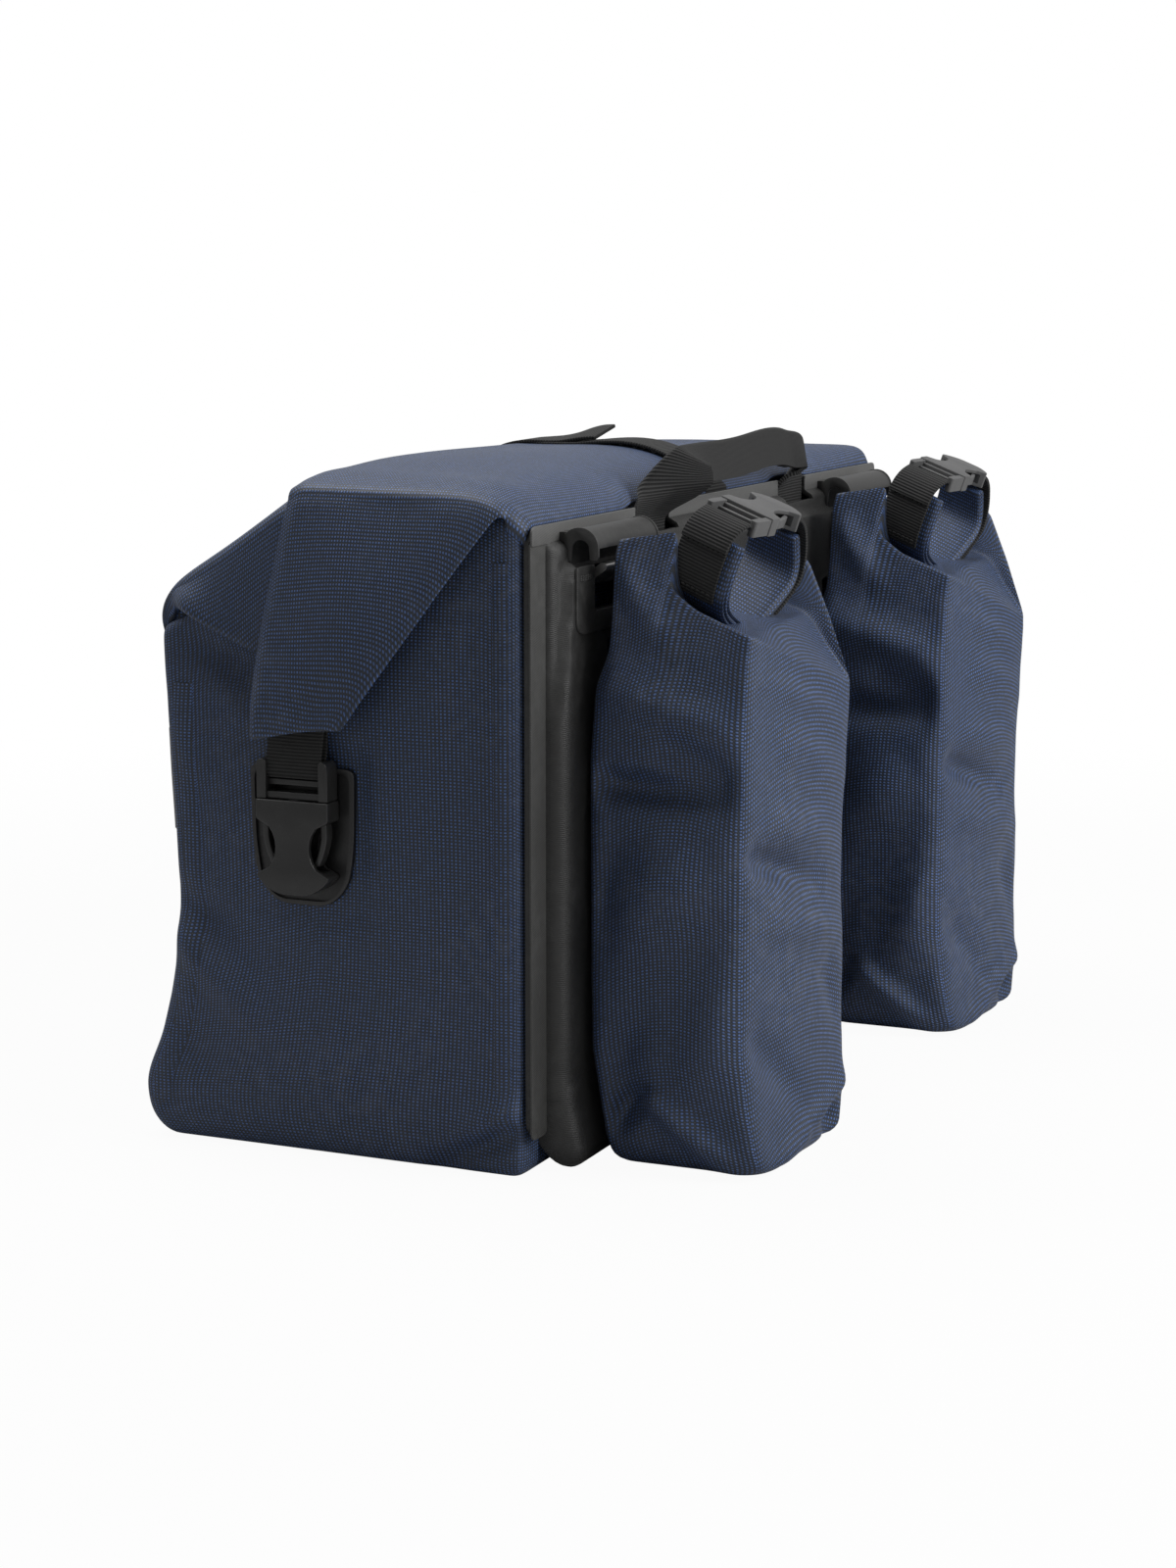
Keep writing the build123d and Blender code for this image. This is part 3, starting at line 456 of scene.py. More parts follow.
@cache
def scuff_group() -> bpy.types.NodeTree:
    """Faint dust and handling marks, as a mask over object coordinates."""
    group = new_group("scuffs", {"Place": "Vector", "Amount": "Float"},
                      {"Mask": "Float", "Shift": "Float"})
    net = Wiring(group)
    given = group.nodes["Group Input"].outputs
    broad = net.ramp(net.noise(given["Place"], 9.0, 4.0), 0.42, 0.72)
    fine = net.ramp(net.noise(given["Place"], 160.0, 3.0), 0.35, 0.75)
    net.fill(group.nodes["Group Output"], {
        "Mask": net.times(net.times(broad, fine), given["Amount"]),
        "Shift": net.minus(broad, 0.5),
    })
    return group


def scuffs(net: Wiring, space: Socket, amount: float) -> tuple:
    """The mask and the shift of the handling marks, for one material."""
    made = net.node("ShaderNodeGroup", node_tree=scuff_group())
    net.fill(made, {"Place": space, "Amount": amount})
    return made.outputs["Mask"], made.outputs["Shift"]


@dataclass(frozen=True)
class GridWeave(Finish):
    """Navy coated cloth with a grid of pale blue points."""

    slot: str = "navy_fabric"
    dust: Colour = rgb(0.30, 0.31, 0.34)

    def dress(self, net: Wiring, shader: bpy.types.Node) -> None:
        """Weave from the cloth's own flat map, and dust from object coordinates."""
        weave = net.node("ShaderNodeGroup", node_tree=grid_weave_group())
        net.feed(weave.inputs["Place"], net.weave_map())
        mask, shift = scuffs(net, net.space(), 0.10)
        rough = net.minus(0.56, net.times(weave.outputs["Point"], 0.1))
        net.fill(shader, {
            "Base Color": net.mix(mask, weave.outputs["Color"], self.dust),
            "Roughness": net.plus(rough, net.times(shift, 0.08)),
            "Specular IOR Level": 0.42, "Sheen Weight": 0.03, "Sheen Roughness": 0.4,
        })
        bump(net, shader, weave.outputs["Height"], 0.00016)


@dataclass(frozen=True)
class RibbedWebbing(Finish):
    """Black woven webbing with ribs across its length."""

    slot: str = "black_webbing"
    rib: float = 0.00155
    dark: Colour = grey(0.010)
    light: Colour = grey(0.031)

    def dress(self, net: Wiring, shader: bpy.types.Node) -> None:
        """Ribs and fine threads from the strap's own flat map."""
        parts = net.split(net.weave_map())
        along = net.math("DIVIDE", parts[0], self.rib)
        ribbed = net.ramp(net.off_middle(along), 0.08, 0.42, 1.0, 0.0)
        across = net.math("SINE", net.times(parts[1], 9000.0))
        threads = net.ramp(across, -1.0, 1.0, 0.72, 1.0)
        fuzz = net.ramp(net.noise(net.space(), 2600.0), 0.3, 0.7, 0.75, 1.1)
        shade = net.times(net.times(ribbed, threads), fuzz)
        net.fill(shader, {
            "Base Color": net.mix(shade, self.dark, self.light),
            "Roughness": net.minus(0.82, net.times(shade, 0.2)),
            "Specular IOR Level": 0.28, "Sheen Weight": 0.01,
        })
        bump(net, shader, net.plus(ribbed, net.times(threads, 0.25)), 0.0003)


@dataclass(frozen=True)
class Moulded(Finish):
    """Moulded plastic with a fine grain and slightly paler, smoother wear."""

    slot: str = "buckle_plastic"
    colour: Colour = grey(0.018)
    roughness: float = 0.36
    grain: float = 0.00003
    grain_scale: float = 2600.0
    coat: float = 0.0

    def dress(self, net: Wiring, shader: bpy.types.Node) -> None:
        """Grain, handling marks and a little colour change."""
        space = net.space()
        grain = net.noise(space, self.grain_scale)
        mask, shift = scuffs(net, space, 0.10)
        worn = net.mix(mask, self.colour, grey(0.22))
        net.fill(shader, {
            "Base Color": net.mix(net.ramp(grain, 0.35, 0.65), dimmed(self.colour, 0.82), worn),
            "Roughness": net.plus(self.roughness, net.times(shift, 0.12)),
            "Coat Weight": self.coat, "Coat Roughness": 0.2,
        })
        bump(net, shader, grain, self.grain)


@dataclass(frozen=True)
class TwillGrain(Finish):
    """Dark grey thermoformed sheet with a fine diagonal grain."""

    slot: str = "panel_shell"
    colour: Colour = rgb(0.0142, 0.0141, 0.0135)
    pitch: float = 0.0009

    def dress(self, net: Wiring, shader: bpy.types.Node) -> None:
        """Diagonal lines over the panel's faces, from object coordinates."""
        space = net.space()
        parts = net.split(space)
        run = net.plus(net.times(parts[0], 0.8), parts[2])
        run = net.plus(run, net.times(parts[1], 0.6))
        line = net.off_middle(net.math("DIVIDE", run, self.pitch))
        ridge = net.ramp(line, 0.1, 0.42, 1.0, 0.0)
        grain = net.noise(space, 1900.0)
        mask, shift = scuffs(net, space, 0.08)
        lined = net.mix(net.times(ridge, net.ramp(grain, 0.3, 0.7, 0.5, 1.0)),
                        dimmed(self.colour, 0.8), self.colour)
        net.fill(shader, {
            "Base Color": net.mix(mask, lined, grey(0.25)),
            "Roughness": net.plus(0.52, net.times(shift, 0.1)),
        })
        height = net.plus(net.times(ridge, 0.7), net.times(grain, 0.5))
        bump(net, shader, height, 0.00012)


@dataclass(frozen=True)
class ZincPlate(Finish):
    """Zinc-plated steel with brushed streaks."""

    slot: str = "steel"

    def dress(self, net: Wiring, shader: bpy.types.Node) -> None:
        """Streaks along X over a soft mottle."""
        inputs = {"Scale": (30.0, 1800.0, 1800.0), "Vector": net.space()}
        streak = net.noise(net.node("ShaderNodeMapping", inputs).outputs[0], 1.0, 3.0)
        net.fill(shader, {
            "Base Color": net.mix(streak, rgb(0.42, 0.42, 0.43), rgb(0.62, 0.62, 0.60)),
            "Roughness": net.ramp(streak, 0.2, 0.8, 0.28, 0.45), "Metallic": 1.0,
        })
        bump(net, shader, streak, 0.00004)


NAVY = GridWeave()
WEBBING = RibbedWebbing()
BUCKLE = Moulded()
PATCH = Moulded(slot="patch_rubber", colour=rgb(0.009, 0.009, 0.0095), roughness=0.38,
                grain_scale=900.0)
# Painted shade: a near-black sheet set in the hook channel, where the hood's shadow falls.
CHANNEL_SHADE = Moulded(slot="patch_rubber", colour=grey(0.004), roughness=0.8)
# Painted highlight: the buckle plastic again, painted much paler to stand for the key light falling
# on the ring buckles.
LIT_RING_BUCKLE = Moulded(colour=rgb(0.085, 0.085, 0.086), roughness=0.5)
THREAD = Moulded(slot="black_webbing", colour=grey(0.012), roughness=0.7)
HOOK = Moulded(slot="hook_plastic", colour=rgb(0.022, 0.022, 0.0215), roughness=0.45)
BOARD = Moulded(slot="inner_board", colour=grey(0.18), roughness=0.5)
BAND = Moulded(slot="grey_band", colour=rgb(0.26, 0.26, 0.27), roughness=0.4, grain_scale=1200.0)
PANEL = TwillGrain()
TAPE = TwillGrain(slot="border_tape", colour=rgb(0.052, 0.052, 0.050), pitch=0.0011)
# Painted highlight: the same border tape as TAPE at about twice its colour, standing for the top
# light falling on the strip over the panel's head.
LIT_HEAD_TAPE = TwillGrain(slot="border_tape", colour=rgb(0.100, 0.100, 0.098), pitch=0.0011)
ZINC = ZincPlate()


# ---- main bag
BAG_LOW, BAG_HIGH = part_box("bag_body")
BACK = BAG_LOW.y
HALF = BAG_HIGH.x
TOP_BACK = 0.3002
RIDGE = ((-238, 315.0), (-222, 319.2), (-194, 320.6), (-164, 322.2), (-115, 323.2), (-25, 322.0),
         (44, 320.1), (96, 317.8), (165, 313.8), (238, 309.2))
RISE = ((-238, 9.0), (-150, 16.0), (0, 18.0), (150, 12.0), (215, 5.0), (238, 3.2))


def cloth_top(x: Array, y: Array) -> Array:
    """Height of the closed top at x and a depth from the bag's back, before the ridge."""
    ridge = curve_through(RIDGE, x / MM) * MM
    reach = curve_through(RISE, x / MM) * MM
    return TOP_BACK + (ridge - TOP_BACK) * (1 - np.exp(-np.maximum(y + 0.0012, 0) / reach))


@dataclass
class MainBag:
    """The bag's welded shell, bent out of a plain box, with its seams and its grey band."""

    cuts: int = 58
    corner: float = 0.0065
    deep: float = 0.2
    tall: float = 0.3
    belly: float = 0.0012
    seat_depth: tuple = (0.070, 0.082, 0.140, 0.152)
    seat_height: tuple = (0.106, 0.119, 0.190, 0.205)
    seams: tuple = (("outer", 0.006, 0.011, 0.018, 0.222), ("back", 0.0055, 0.009, 0.022, 0.285))
    seam_profile: tuple = (-0.0002, 0.0006, 0.0007, 0.0006, -0.0002)
    band_proud: float = 0.0015
    band_edge: float = 0.0012
    depths: tuple = ((0, 190), (8, 198.5), (22, 203), (52, 193.5), (95, 184), (125, 183),
                     (150, 183.5), (180, 185), (205, 186), (232, 188), (250, 188), (270, 184),
                     (320, 184))
    top: tuple = ((0, 340), (100, 322), (112, 314), (125, 304), (150, 286), (170, 271), (186, 255),
                  (210, 248))
    end_folds: tuple = folds(
        (178, 118, 148, 92, 10, -5.0), (176, 100, 134, 58, 10, 5.0),
        (190, 66, 158, 30, 10, -2.4), (8, 21, 46, 2, 5, -8.5), (5, 32, 34, 16, 6, 6.0),
        (164, 238, 132, 226, 12, -9.5), (178, 205, 160, 170, 10, 2.2),
        (60, 230, 90, 120, 34, 1.8), (120, 60, 60, 20, 26, 1.6), (20, 250, 26, 60, 14, -1.2))
    outer_folds: tuple = folds(
        (-200, 120, 200, 118, 26, -2.0), (-120, 60, -40, 210, 24, 2.5),
        (60, 40, 150, 200, 26, 2.2), (-210, 60, -150, 20, 16, 3.0), (210, 70, 140, 20, 16, 3.0))

    def depth(self, height: Array) -> Array:
        """Depth of the outer face at a height, in metres."""
        return curve_through(self.depths, height / MM) * MM

    def top_height(self, x: Array, share: Array) -> Array:
        """Height of the shell's top just under the closure."""
        slope = curve_through(self.top, share * (self.deep / MM)) * MM
        return np.minimum(cloth_top(x, share * 0.187) - 0.0016, slope)

    def outer_push(self, x: Array, z: Array) -> Array:
        """How far the folds push the outer face out."""
        return sum(fold.rise(x, z) for fold in self.outer_folds)

    def shaped(self, flat: Array) -> Array:
        """Moves points of the plain box onto the bag's surface."""
        low = np.array([-HALF, 0.0, 0.0])
        high = np.array([HALF, self.deep, self.tall])
        inner = np.clip(flat, low + self.corner, high - self.corner)
        away = flat - inner
        length = np.linalg.norm(away, axis=1, keepdims=True)
        points = inner + away * np.where(length > TINY, self.corner / np.maximum(length, TINY), 1)
        x = points[:, 0]
        share = points[:, 1] / self.deep
        z = points[:, 2] / self.tall * self.top_height(x, share)
        y = share * self.depth(z)
        lift = self.belly * arch(y / 0.19) * arch(z / self.tall)
        lift = sum((fold.rise(y, z) for fold in self.end_folds), lift)
        lift = lift * (1 - plateau(y, *self.seat_depth) * plateau(z, *self.seat_height))
        x = np.where(np.abs(flat[:, 0]) > HALF - 1e-6, x + np.sign(x) * lift, x)
        y = np.where(flat[:, 1] > self.deep - 1e-6, y + self.outer_push(x, z), y)
        return xyz(x, y + BACK, z)

    def build(self) -> None:
        """Builds the shell from a subdivided box."""
        deselect()
        bpy.ops.mesh.primitive_cube_add(size=1, location=(0, self.deep / 2, self.tall / 2))
        shell = bpy.context.object
        shell.name = "bag_shell"
        shell.scale = (2 * HALF, self.deep, self.tall)
        bpy.ops.object.transform_apply(location=True, rotation=True, scale=True)
        enter("EDIT")
        bpy.ops.mesh.subdivide(number_cuts=self.cuts)
        enter("OBJECT")
        flat = read_points(shell)
        inward = HALF - np.abs(flat[:, 0])
        drawn = inward * (0.42 + 0.58 * ease(inward, 0.0, 0.05))
        flat[:, 0] = np.sign(flat[:, 0]) * (HALF - drawn)
        mesh = shell.data
        while mesh.uv_layers:
            mesh.uv_layers.remove(mesh.uv_layers[0])
        weave = mesh.uv_layers.new(name="weave")
        for face in mesh.polygons:
            first, second = ((1, 2), (0, 2), (0, 1))[int(np.argmax(np.abs(face.normal)))]
            for loop in face.loop_indices:
                place = flat[mesh.loops[loop].vertex_index]
                weave.data[loop].uv = (place[first], place[second])
        write_points(shell, self.shaped(flat))
        modify(shell, "SUBSURF", levels=1)
        hand_in(shell, NAVY, "bag", "bag_body", angle=CLOTH_TURN)
        for end in End:
            for seam in self.seams:
                self.build_seam(end, *seam)
        self.build_band()

    def on_end(self, end: End, y: Array, z: Array) -> Array:
        """Points on an end face, given by depth and height."""
        flat = xyz(end.side * HALF, y, z).reshape(-1, 3)
        share = np.clip(flat[:, 1] / self.depth(flat[:, 2]), 0, 1) * self.deep
        top = self.top_height(flat[:, 0], share / self.deep)
        height = np.clip(flat[:, 2] / top, 0, 1) * self.tall
        points = self.shaped(xyz(flat[:, 0], share, height))
        return points.reshape(y.shape + (3,))

    def build_seam(self, end: End, name: str, inset: float, width: float, low: float,
                   high: float) -> None:
        """Builds one welded seam strip beside an upright edge of an end face.

        Args:
            end: the end face.
            name: the upright edge that the strip lies beside, outer or back.
            inset: how far the strip starts from the edge.
            width: the strip's width.
            low: height of its lower end.
            high: height of its upper end.
        """
        across = np.linspace(0, 1, len(self.seam_profile))
        z = np.repeat(np.linspace(low, high, 60)[:, None], len(across), 1)
        inwards = inset + width * across + 0 * z
        y = self.depth(z) - inwards if name == "outer" else inwards
        points = self.on_end(end, y, z)
        points[..., 0] += end.side * np.array(self.seam_profile)
        weave = np.stack([y, z], axis=-1)
        if (end is End.FAR) == (name == "outer"):
            points, weave = points[:, ::-1], weave[:, ::-1]
        strip = lofted(f"seam_{name}_{end.value}", points, weave)
        modify(strip, "SOLIDIFY", thickness=0.0008, offset=-1.0)
        hand_in(strip, NAVY, "bag", angle=CLOTH_TURN)

    def build_band(self) -> None:
        """The grey band across the outer face."""
        low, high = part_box("outer_band")
        inner = np.linspace(low.z + MM, high.z - MM, 12)
        x, z = np.meshgrid(np.linspace(low.x, high.x, 60), [low.z, *inner, high.z])
        y = BACK + self.depth(z) + self.outer_push(x, z) + self.band_proud
        y[[0, -1]] -= self.band_edge
        points = xyz(x, y, z)[:, ::-1]
        band = lofted("reflective_band", points, points[..., ::2])
        modify(band, "SOLIDIFY", thickness=0.0010, offset=-1.0)
        hand_in(band, BAND, "bag", "outer_band", angle=CLOTH_TURN)


# ---- roll top and tabs
@dataclass
class RollTop:
    """The closure: flat top, slope, rolled edge, folded ends and the two end tabs."""

    crest: float = 0.117
    edge_radius: float = 0.0055
    proud: float = 0.0012
    lean: float = 0.0126
    draw_radius: float = 0.0085
    strap_width: float = 0.030
    rows: int = 72
    arc_rows: int = 8
    tab_rows: int = 34
    columns: int = 40
    corner_columns: int = 5
    corner_rows: int = 5
    corner_step: float = 0.0022
    tab_foot: tuple = (0.0790, 0.1320)
    foot_heights: tuple = ((0, 206.8), (0.30, 205.6), (0.42, 205.0), (1, 199.2))
    slope_fall: float = 0.0735
    slope: tuple = ((117, 0.0), (121, -2.0), (130, -8.5), (150, -23.5), (170, -37.0),
                    (180, -44.5), (185.5, -50.5), (188, -57.0), (188.3, -63.5), (186.6, -69.5),
                    (185.2, -73.5))
    hem: tuple = ((133, 240.5), (145, 246.0), (158.3, 252.6), (172.5, 259.0), (181, 258.0),
                  (186, 251.0), (190, 244.0))

    @property
    def brink(self) -> float:
        """How far from the middle the cloth starts to turn down over an end."""
        return HALF - self.edge_radius

    def softness(self, x: Array) -> Array:
        """Zero at the ends and one away from them."""
        return 1 - np.exp(-(HALF - np.abs(x)) / 0.03)

    def top_points(self, x: Array, share: Array) -> tuple[Array, Array]:
        """Depth and height of the flat top at x, from the panel (0) to the ridge (1)."""
        soft = self.softness(x)
        start = -0.0012 + 0.0015 * ease(-np.abs(np.abs(x) - 0.097), -0.026, -0.021)
        y = start + (self.crest - start) * share
        z = cloth_top(x, y)
        dip = np.sin(math.pi * share) * soft
        z = z + 0.0012 * np.sin(share * 5.0 + x * 17.0) * dip
        z = z + 0.0014 * np.sin(x * 29.0 + 0.7) * dip * share
        z = z - 0.0028 * ease(share, 0.93, 1.0)
        return y, z

    def tab_points(self, end: End, share: Array, drop: float) -> Array:
        """Points across a tab at one drop, from its slanted edge (0) to its outer edge (1)."""
        y0, z0 = self.top_points(np.full(share.shape, end.side * self.brink), share)
        z0 = z0 - self.edge_radius + 0.001
        foot_y = self.tab_foot[0] + (self.tab_foot[1] - self.tab_foot[0]) * share
        foot_z = curve_through(self.foot_heights, share) * MM
        y = y0 + (foot_y - y0) * drop + 0.0022 * share * math.sin(math.pi * drop)
        z = z0 + (foot_z - z0) * drop
        lean = self.lean * min(1.0, drop / 0.86) ** 0.8
        standing = 0.0035 * (1 - share) ** 2 * (1 - drop)
        belly = 0.0042 * math.sin(math.pi * min(1.0, drop * 1.02)) * np.sin(math.pi * share) ** 0.8
        roll = -0.0022 * ease(share, 0.93, 1.0)
        ripple = 0.0006 * np.sin(share * 9 + drop * 7)
        dent = -0.0022 * np.exp(-(((share - 0.35) / 0.2) ** 2 + ((drop - 0.86) / 0.1) ** 2))
        x = HALF + self.proud + lean + standing + belly + roll + ripple + dent
        return xyz(end.side * x, y, z)

    def inset(self, y: Array) -> Array:
        """How far the cloth draws in from the end face beside the panel."""
        radius = self.draw_radius
        short = radius - np.clip(y, 0.0004, radius)
        return radius - np.sqrt(np.maximum(radius ** 2 - short ** 2, 0))

    def end_rows(self, end: End, share: Array) -> list[Array]:
        """Rows from a tab's foot up to the flat top, with the corner band beside the panel."""
        y0, z0 = self.top_points(np.full(share.shape, end.side * self.brink), share)
        band = np.arange(len(share)) < self.corner_columns
        edge = share[self.corner_columns]
        tab_share = np.clip((share - edge) / (1 - edge), 0, 1)
        made = []
        for step, drop in enumerate(np.linspace(1, 0, self.tab_rows)[:-1]):
            tab = self.tab_points(end, np.where(band, 0, share), drop)
            fall = self.corner_step * min(self.tab_rows - 1 - step, self.corner_rows)
            sunk = self.inset(y0) + 0.0075 * ease(fall, 0.0015, 0.0095)
            beside = xyz(end.side * (HALF + self.proud - sunk), y0,
                         z0 - self.edge_radius + 0.001 - fall)
            made.append(np.where(band[:, None], beside, tab))
        for turn in np.radians(np.linspace(90, 0, self.arc_rows)[:-1]):
            x = self.brink + (self.edge_radius + self.proud) * math.sin(turn)
            standing = 0.0030 * (1 - tab_share) ** 2 * math.sin(turn) ** 2
            x = x + np.where(band, -self.inset(y0), standing)
            x = x - 0.0022 * ease(share, 0.93, 1.0) * math.sin(turn)
            z = z0 - (self.edge_radius - 0.001) * (1 - math.cos(turn))
            made.append(xyz(end.side * x, y0, z))
        return made

    def sheet(self) -> Piece:
        """The top with both tabs, as one cloth, its weave running straight over each bend."""
        share = np.concatenate([np.linspace(0, 0.066, self.corner_columns),
                                np.linspace(0.082, 1, self.columns - self.corner_columns)])
        rows = self.end_rows(End.NEAR, share)
        first_flat = len(rows)
        for x in np.linspace(-self.brink, self.brink, self.rows):
            y, z = self.top_points(np.full(share.shape, x), share)
            draw = self.inset(y) * ease(abs(x), HALF - 0.03, self.brink)
            rows.append(xyz(x - math.copysign(1, x) * draw, y, z))
        last_flat = len(rows)
        rows.extend(self.end_rows(End.FAR, share)[::-1])
        points = np.array(rows)
        middle = points[len(points) // 2]
        across = run_length(middle)
        along = run_length(points[:, -6])
        weave = flat_grid(along, across)
        for edge, rows_of_end in ((first_flat, range(first_flat)),
                                  (last_flat - 1, range(last_flat, len(points)))):
            sign = -1 if edge == first_flat else 1
            for row in rows_of_end:
                down = points[edge] - points[row]
                weave[row, :, 0] = along[edge] + sign * (down[:, 2] + np.abs(down[:, 0]))
                weave[row, :, 1] = np.interp(points[row, :, 1], middle[:, 1], across)
                weave[row, :, 1] += np.maximum(points[row, :, 1] - middle[-1, 1], 0)
        points[..., 1] += BACK
        last = len(points) - 1

        def kept(row: int, column: int) -> bool:
            """The corner bands end below the bend, and are cut free from the tabs."""
            down = min(row, last - 1 - row)
            if down >= self.tab_rows - 1:
                return True
            if column < self.corner_columns - 1:
                return down >= self.tab_rows - 1 - self.corner_rows
            return column != self.corner_columns - 1

        return lofted("roll_top_sheet", points, weave, kept=kept)

    def front_row(self, x: float, section: Array) -> tuple[Array, Array]:
        """Depth and height of the slope and the rolled edge at x."""
        soft = float(self.softness(np.array(x)))
        ridge = float(curve_through(RIDGE, x / MM)) * MM - 0.0035 - 0.004 * (1 - soft)
        stretch = (ridge - 0.243) / self.slope_fall
        z = 0.2405 + (section[:, 1] + self.slope_fall) * stretch
        z = z + 0.0009 * np.sin(x * 43 + section[:, 0] * 60) * soft
        return section[:, 0] + 0.0012 * soft * np.sin(x * 19), z

    def front_section(self) -> Array:
        """The slope's depths and heights below the ridge, rounded at each knot."""
        knots = np.array(self.slope) * MM
        fine = []
        for first, second in zip(knots[:-1], knots[1:]):
            fine.extend(first + (second - first) * t for t in np.linspace(0, 1, 4)[:-1])
        section = np.array(fine + [knots[-1]])
        for _ in range(3):
            section[1:-1] = (section[:-2] + 2 * section[1:-1] + section[2:]) / 4
        return section

    def turned_down(self, end: End, section: Array) -> list[Array]:
        """Rows that turn down over one end and curl in at their lower edge."""
        y, z = self.front_row(end.side * self.brink, section)
        made = []
        outer = ease(y, 0.166, 0.187)
        inner = 1 - ease(y, 0.120, 0.150)
        for turn in np.radians((20, 45, 70, 90)):
            x = HALF - self.edge_radius * (1 - math.sin(turn)) - 0.0065 * outer * math.sin(turn)
            fall = self.edge_radius * (1 - math.cos(turn)) * (1 - outer * 0.8)
            made.append((x, y - 0.001 * outer, z - fall))
        edge, _, base = made[-1]
        low = np.minimum(curve_through(self.hem, y / MM) * MM, base - 0.0012)
        for drop in np.linspace(0, 1, 14)[1:]:
            stand = 0.0062 * math.sin(math.pi * 0.5 * drop) * (1 - outer)
            sway = 0.0016 * np.sin(y * 110 + drop * 2.0) * drop * (1 - outer)
            made.append((edge + stand + sway - 0.002 * inner * drop, y - 0.0015 * outer * drop,
                         base + (low - base) * drop))
        foot = made[-1][0]
        made.append((foot - 0.0012, y, low - 0.0014))
        made.append((foot - 0.0045 - 0.003 * outer, y - 0.001 * outer,
                     low + 0.0004 - 0.0012 * outer))
        made.append((foot - 0.006 - 0.012 * outer, y - 0.006 * outer, low + 0.006 - 0.006 * outer))
        return [xyz(end.side * x, y, z) for x, y, z in made]

    def front(self) -> Piece:
        """The slope and the rolled edge, turned down at both ends."""
        section = self.front_section()
        rows = self.turned_down(End.NEAR, section)[::-1]
        first, last = len(rows), len(rows) + self.rows - 1
        for x in np.linspace(-self.brink, self.brink, self.rows):
            y, z = self.front_row(float(x), section)
            rows.append(xyz(x, y, z))
        rows.extend(self.turned_down(End.FAR, section))
        points = np.array(rows)
        steps = np.linalg.norm(np.diff(points, axis=0), axis=2)
        steps[first:last] = steps[first:last, :1]
        along = np.concatenate([np.zeros((1, len(section))), np.cumsum(steps, axis=0)])
        along -= along[first:first + 1]
        weave = np.stack([along, np.broadcast_to(run_length(section), along.shape)], axis=-1)
        points[..., 1] += BACK
        for end in End:
            self.end_plug(end, section)
        return lofted("roll_front", points, weave)

    def end_plug(self, end: End, section: Array) -> None:
        """Cloth folded in behind the open end of the rolled edge."""
        y, z = self.front_row(end.side * self.brink, section)
        rim = np.stack([y, z], axis=1)[y > 0.140]
        centre = np.array([0.1560, 0.2460])
        rows = []
        for share in np.linspace(0.985, 0.03, 9):
            spot = centre + (rim - centre) * share
            x = end.side * (HALF - 0.0062 - 0.0035 * (1 - share))
            rows.append(xyz(x, spot[:, 0] + BACK, spot[:, 1]))
        points = np.array(rows)
        if end is End.FAR:
            points = points[:, ::-1]
        plug = lofted(f"roll_tuck_{end.value}", points, points[..., 1:])
        modify(plug, "SOLIDIFY", thickness=0.0012, offset=0.0)
        hand_in(plug, NAVY, "bag", angle=CLOTH_TURN)

    def strap(self) -> None:
        """The strap over the middle, with its loose curled end."""
        shares = np.linspace(0.0, 1.0, 26)
        y, z = self.top_points(np.zeros(len(shares)), shares)
        lift = 0.0022 + 0.0022 * np.sin(math.pi * np.clip(shares * 1.6, 0, 1))
        over = xyz(np.linspace(-0.006, 0.006, len(shares)), y + BACK, z + lift)
        down = [(0.006, BACK + d * MM, h * MM) for d, h in
                ((121, 318.2), (130, 311.5), (145, 300.0), (160, 289.0), (172, 280.2),
                 (181, 272.4), (187.5, 263.5), (190.5, 255.0), (190.3, 247.0))]
        start = [(-0.006, BACK - 0.0015, 0.2925), (-0.006, BACK - 0.0016, 0.2965)]
        webbing_strip("top_strap_webbing", np.concatenate([start, over, down]), (1, 0, 0),
                      self.strap_width, 0.0017, "bag", "top_strap")
        tail = [(0.004, BACK + d * MM, h * MM) for d, h in
                ((124, 317.2), (119, 321.2), (110, 323.8), (100, 324.6), (92, 324.8),
                 (84, 325.8), (77, 327.8), (70, 329.2), (64, 329.4))]
        line = smooth_path(tail, 40)
        turn = 0.16 * ease(np.linspace(0, 1, len(line)), 0.35, 0.95)
        across = xyz(np.cos(turn), 0.05, np.sin(turn))
        webbing_strip("strap_loose_end", line, across, self.strap_width, 0.0019, "bag",
                      "strap_tail")

    def build(self) -> None:
        """Builds the cloth, thickens it and adds the strap."""
        sheet = self.sheet()
        modify(sheet, "SOLIDIFY", thickness=0.0018, offset=-1.0)
        modify(sheet, "SUBSURF", levels=1)
        hand_in(sheet, NAVY, "bag", "roll_flap", "end_tab_near", "end_tab_far", angle=CLOTH_TURN)
        front = self.front()
        modify(front, "SOLIDIFY", thickness=0.0022, offset=-1.0)
        modify(front, "SUBSURF", levels=1)
        hand_in(front, NAVY, "bag", angle=CLOTH_TURN)
        self.strap()


# ---- straps, blocks, stitches
def smooth_path(points: Sequence[Sequence[float]], count: int) -> Array:
    """A smooth line with evenly spaced points through or near the given ones."""
    points = np.asarray(points, float)
    for _ in range(3):
        eased = np.empty((2 * len(points) - 2, 3))
        eased[0::2] = points[:-1] * 0.75 + points[1:] * 0.25
        eased[1::2] = points[:-1] * 0.25 + points[1:] * 0.75
        points = np.concatenate([points[:1], eased, points[-1:]])
    length = run_length(points)
    even = np.linspace(0, length[-1], count)
    return xyz(*(np.interp(even, length, column) for column in points.T))


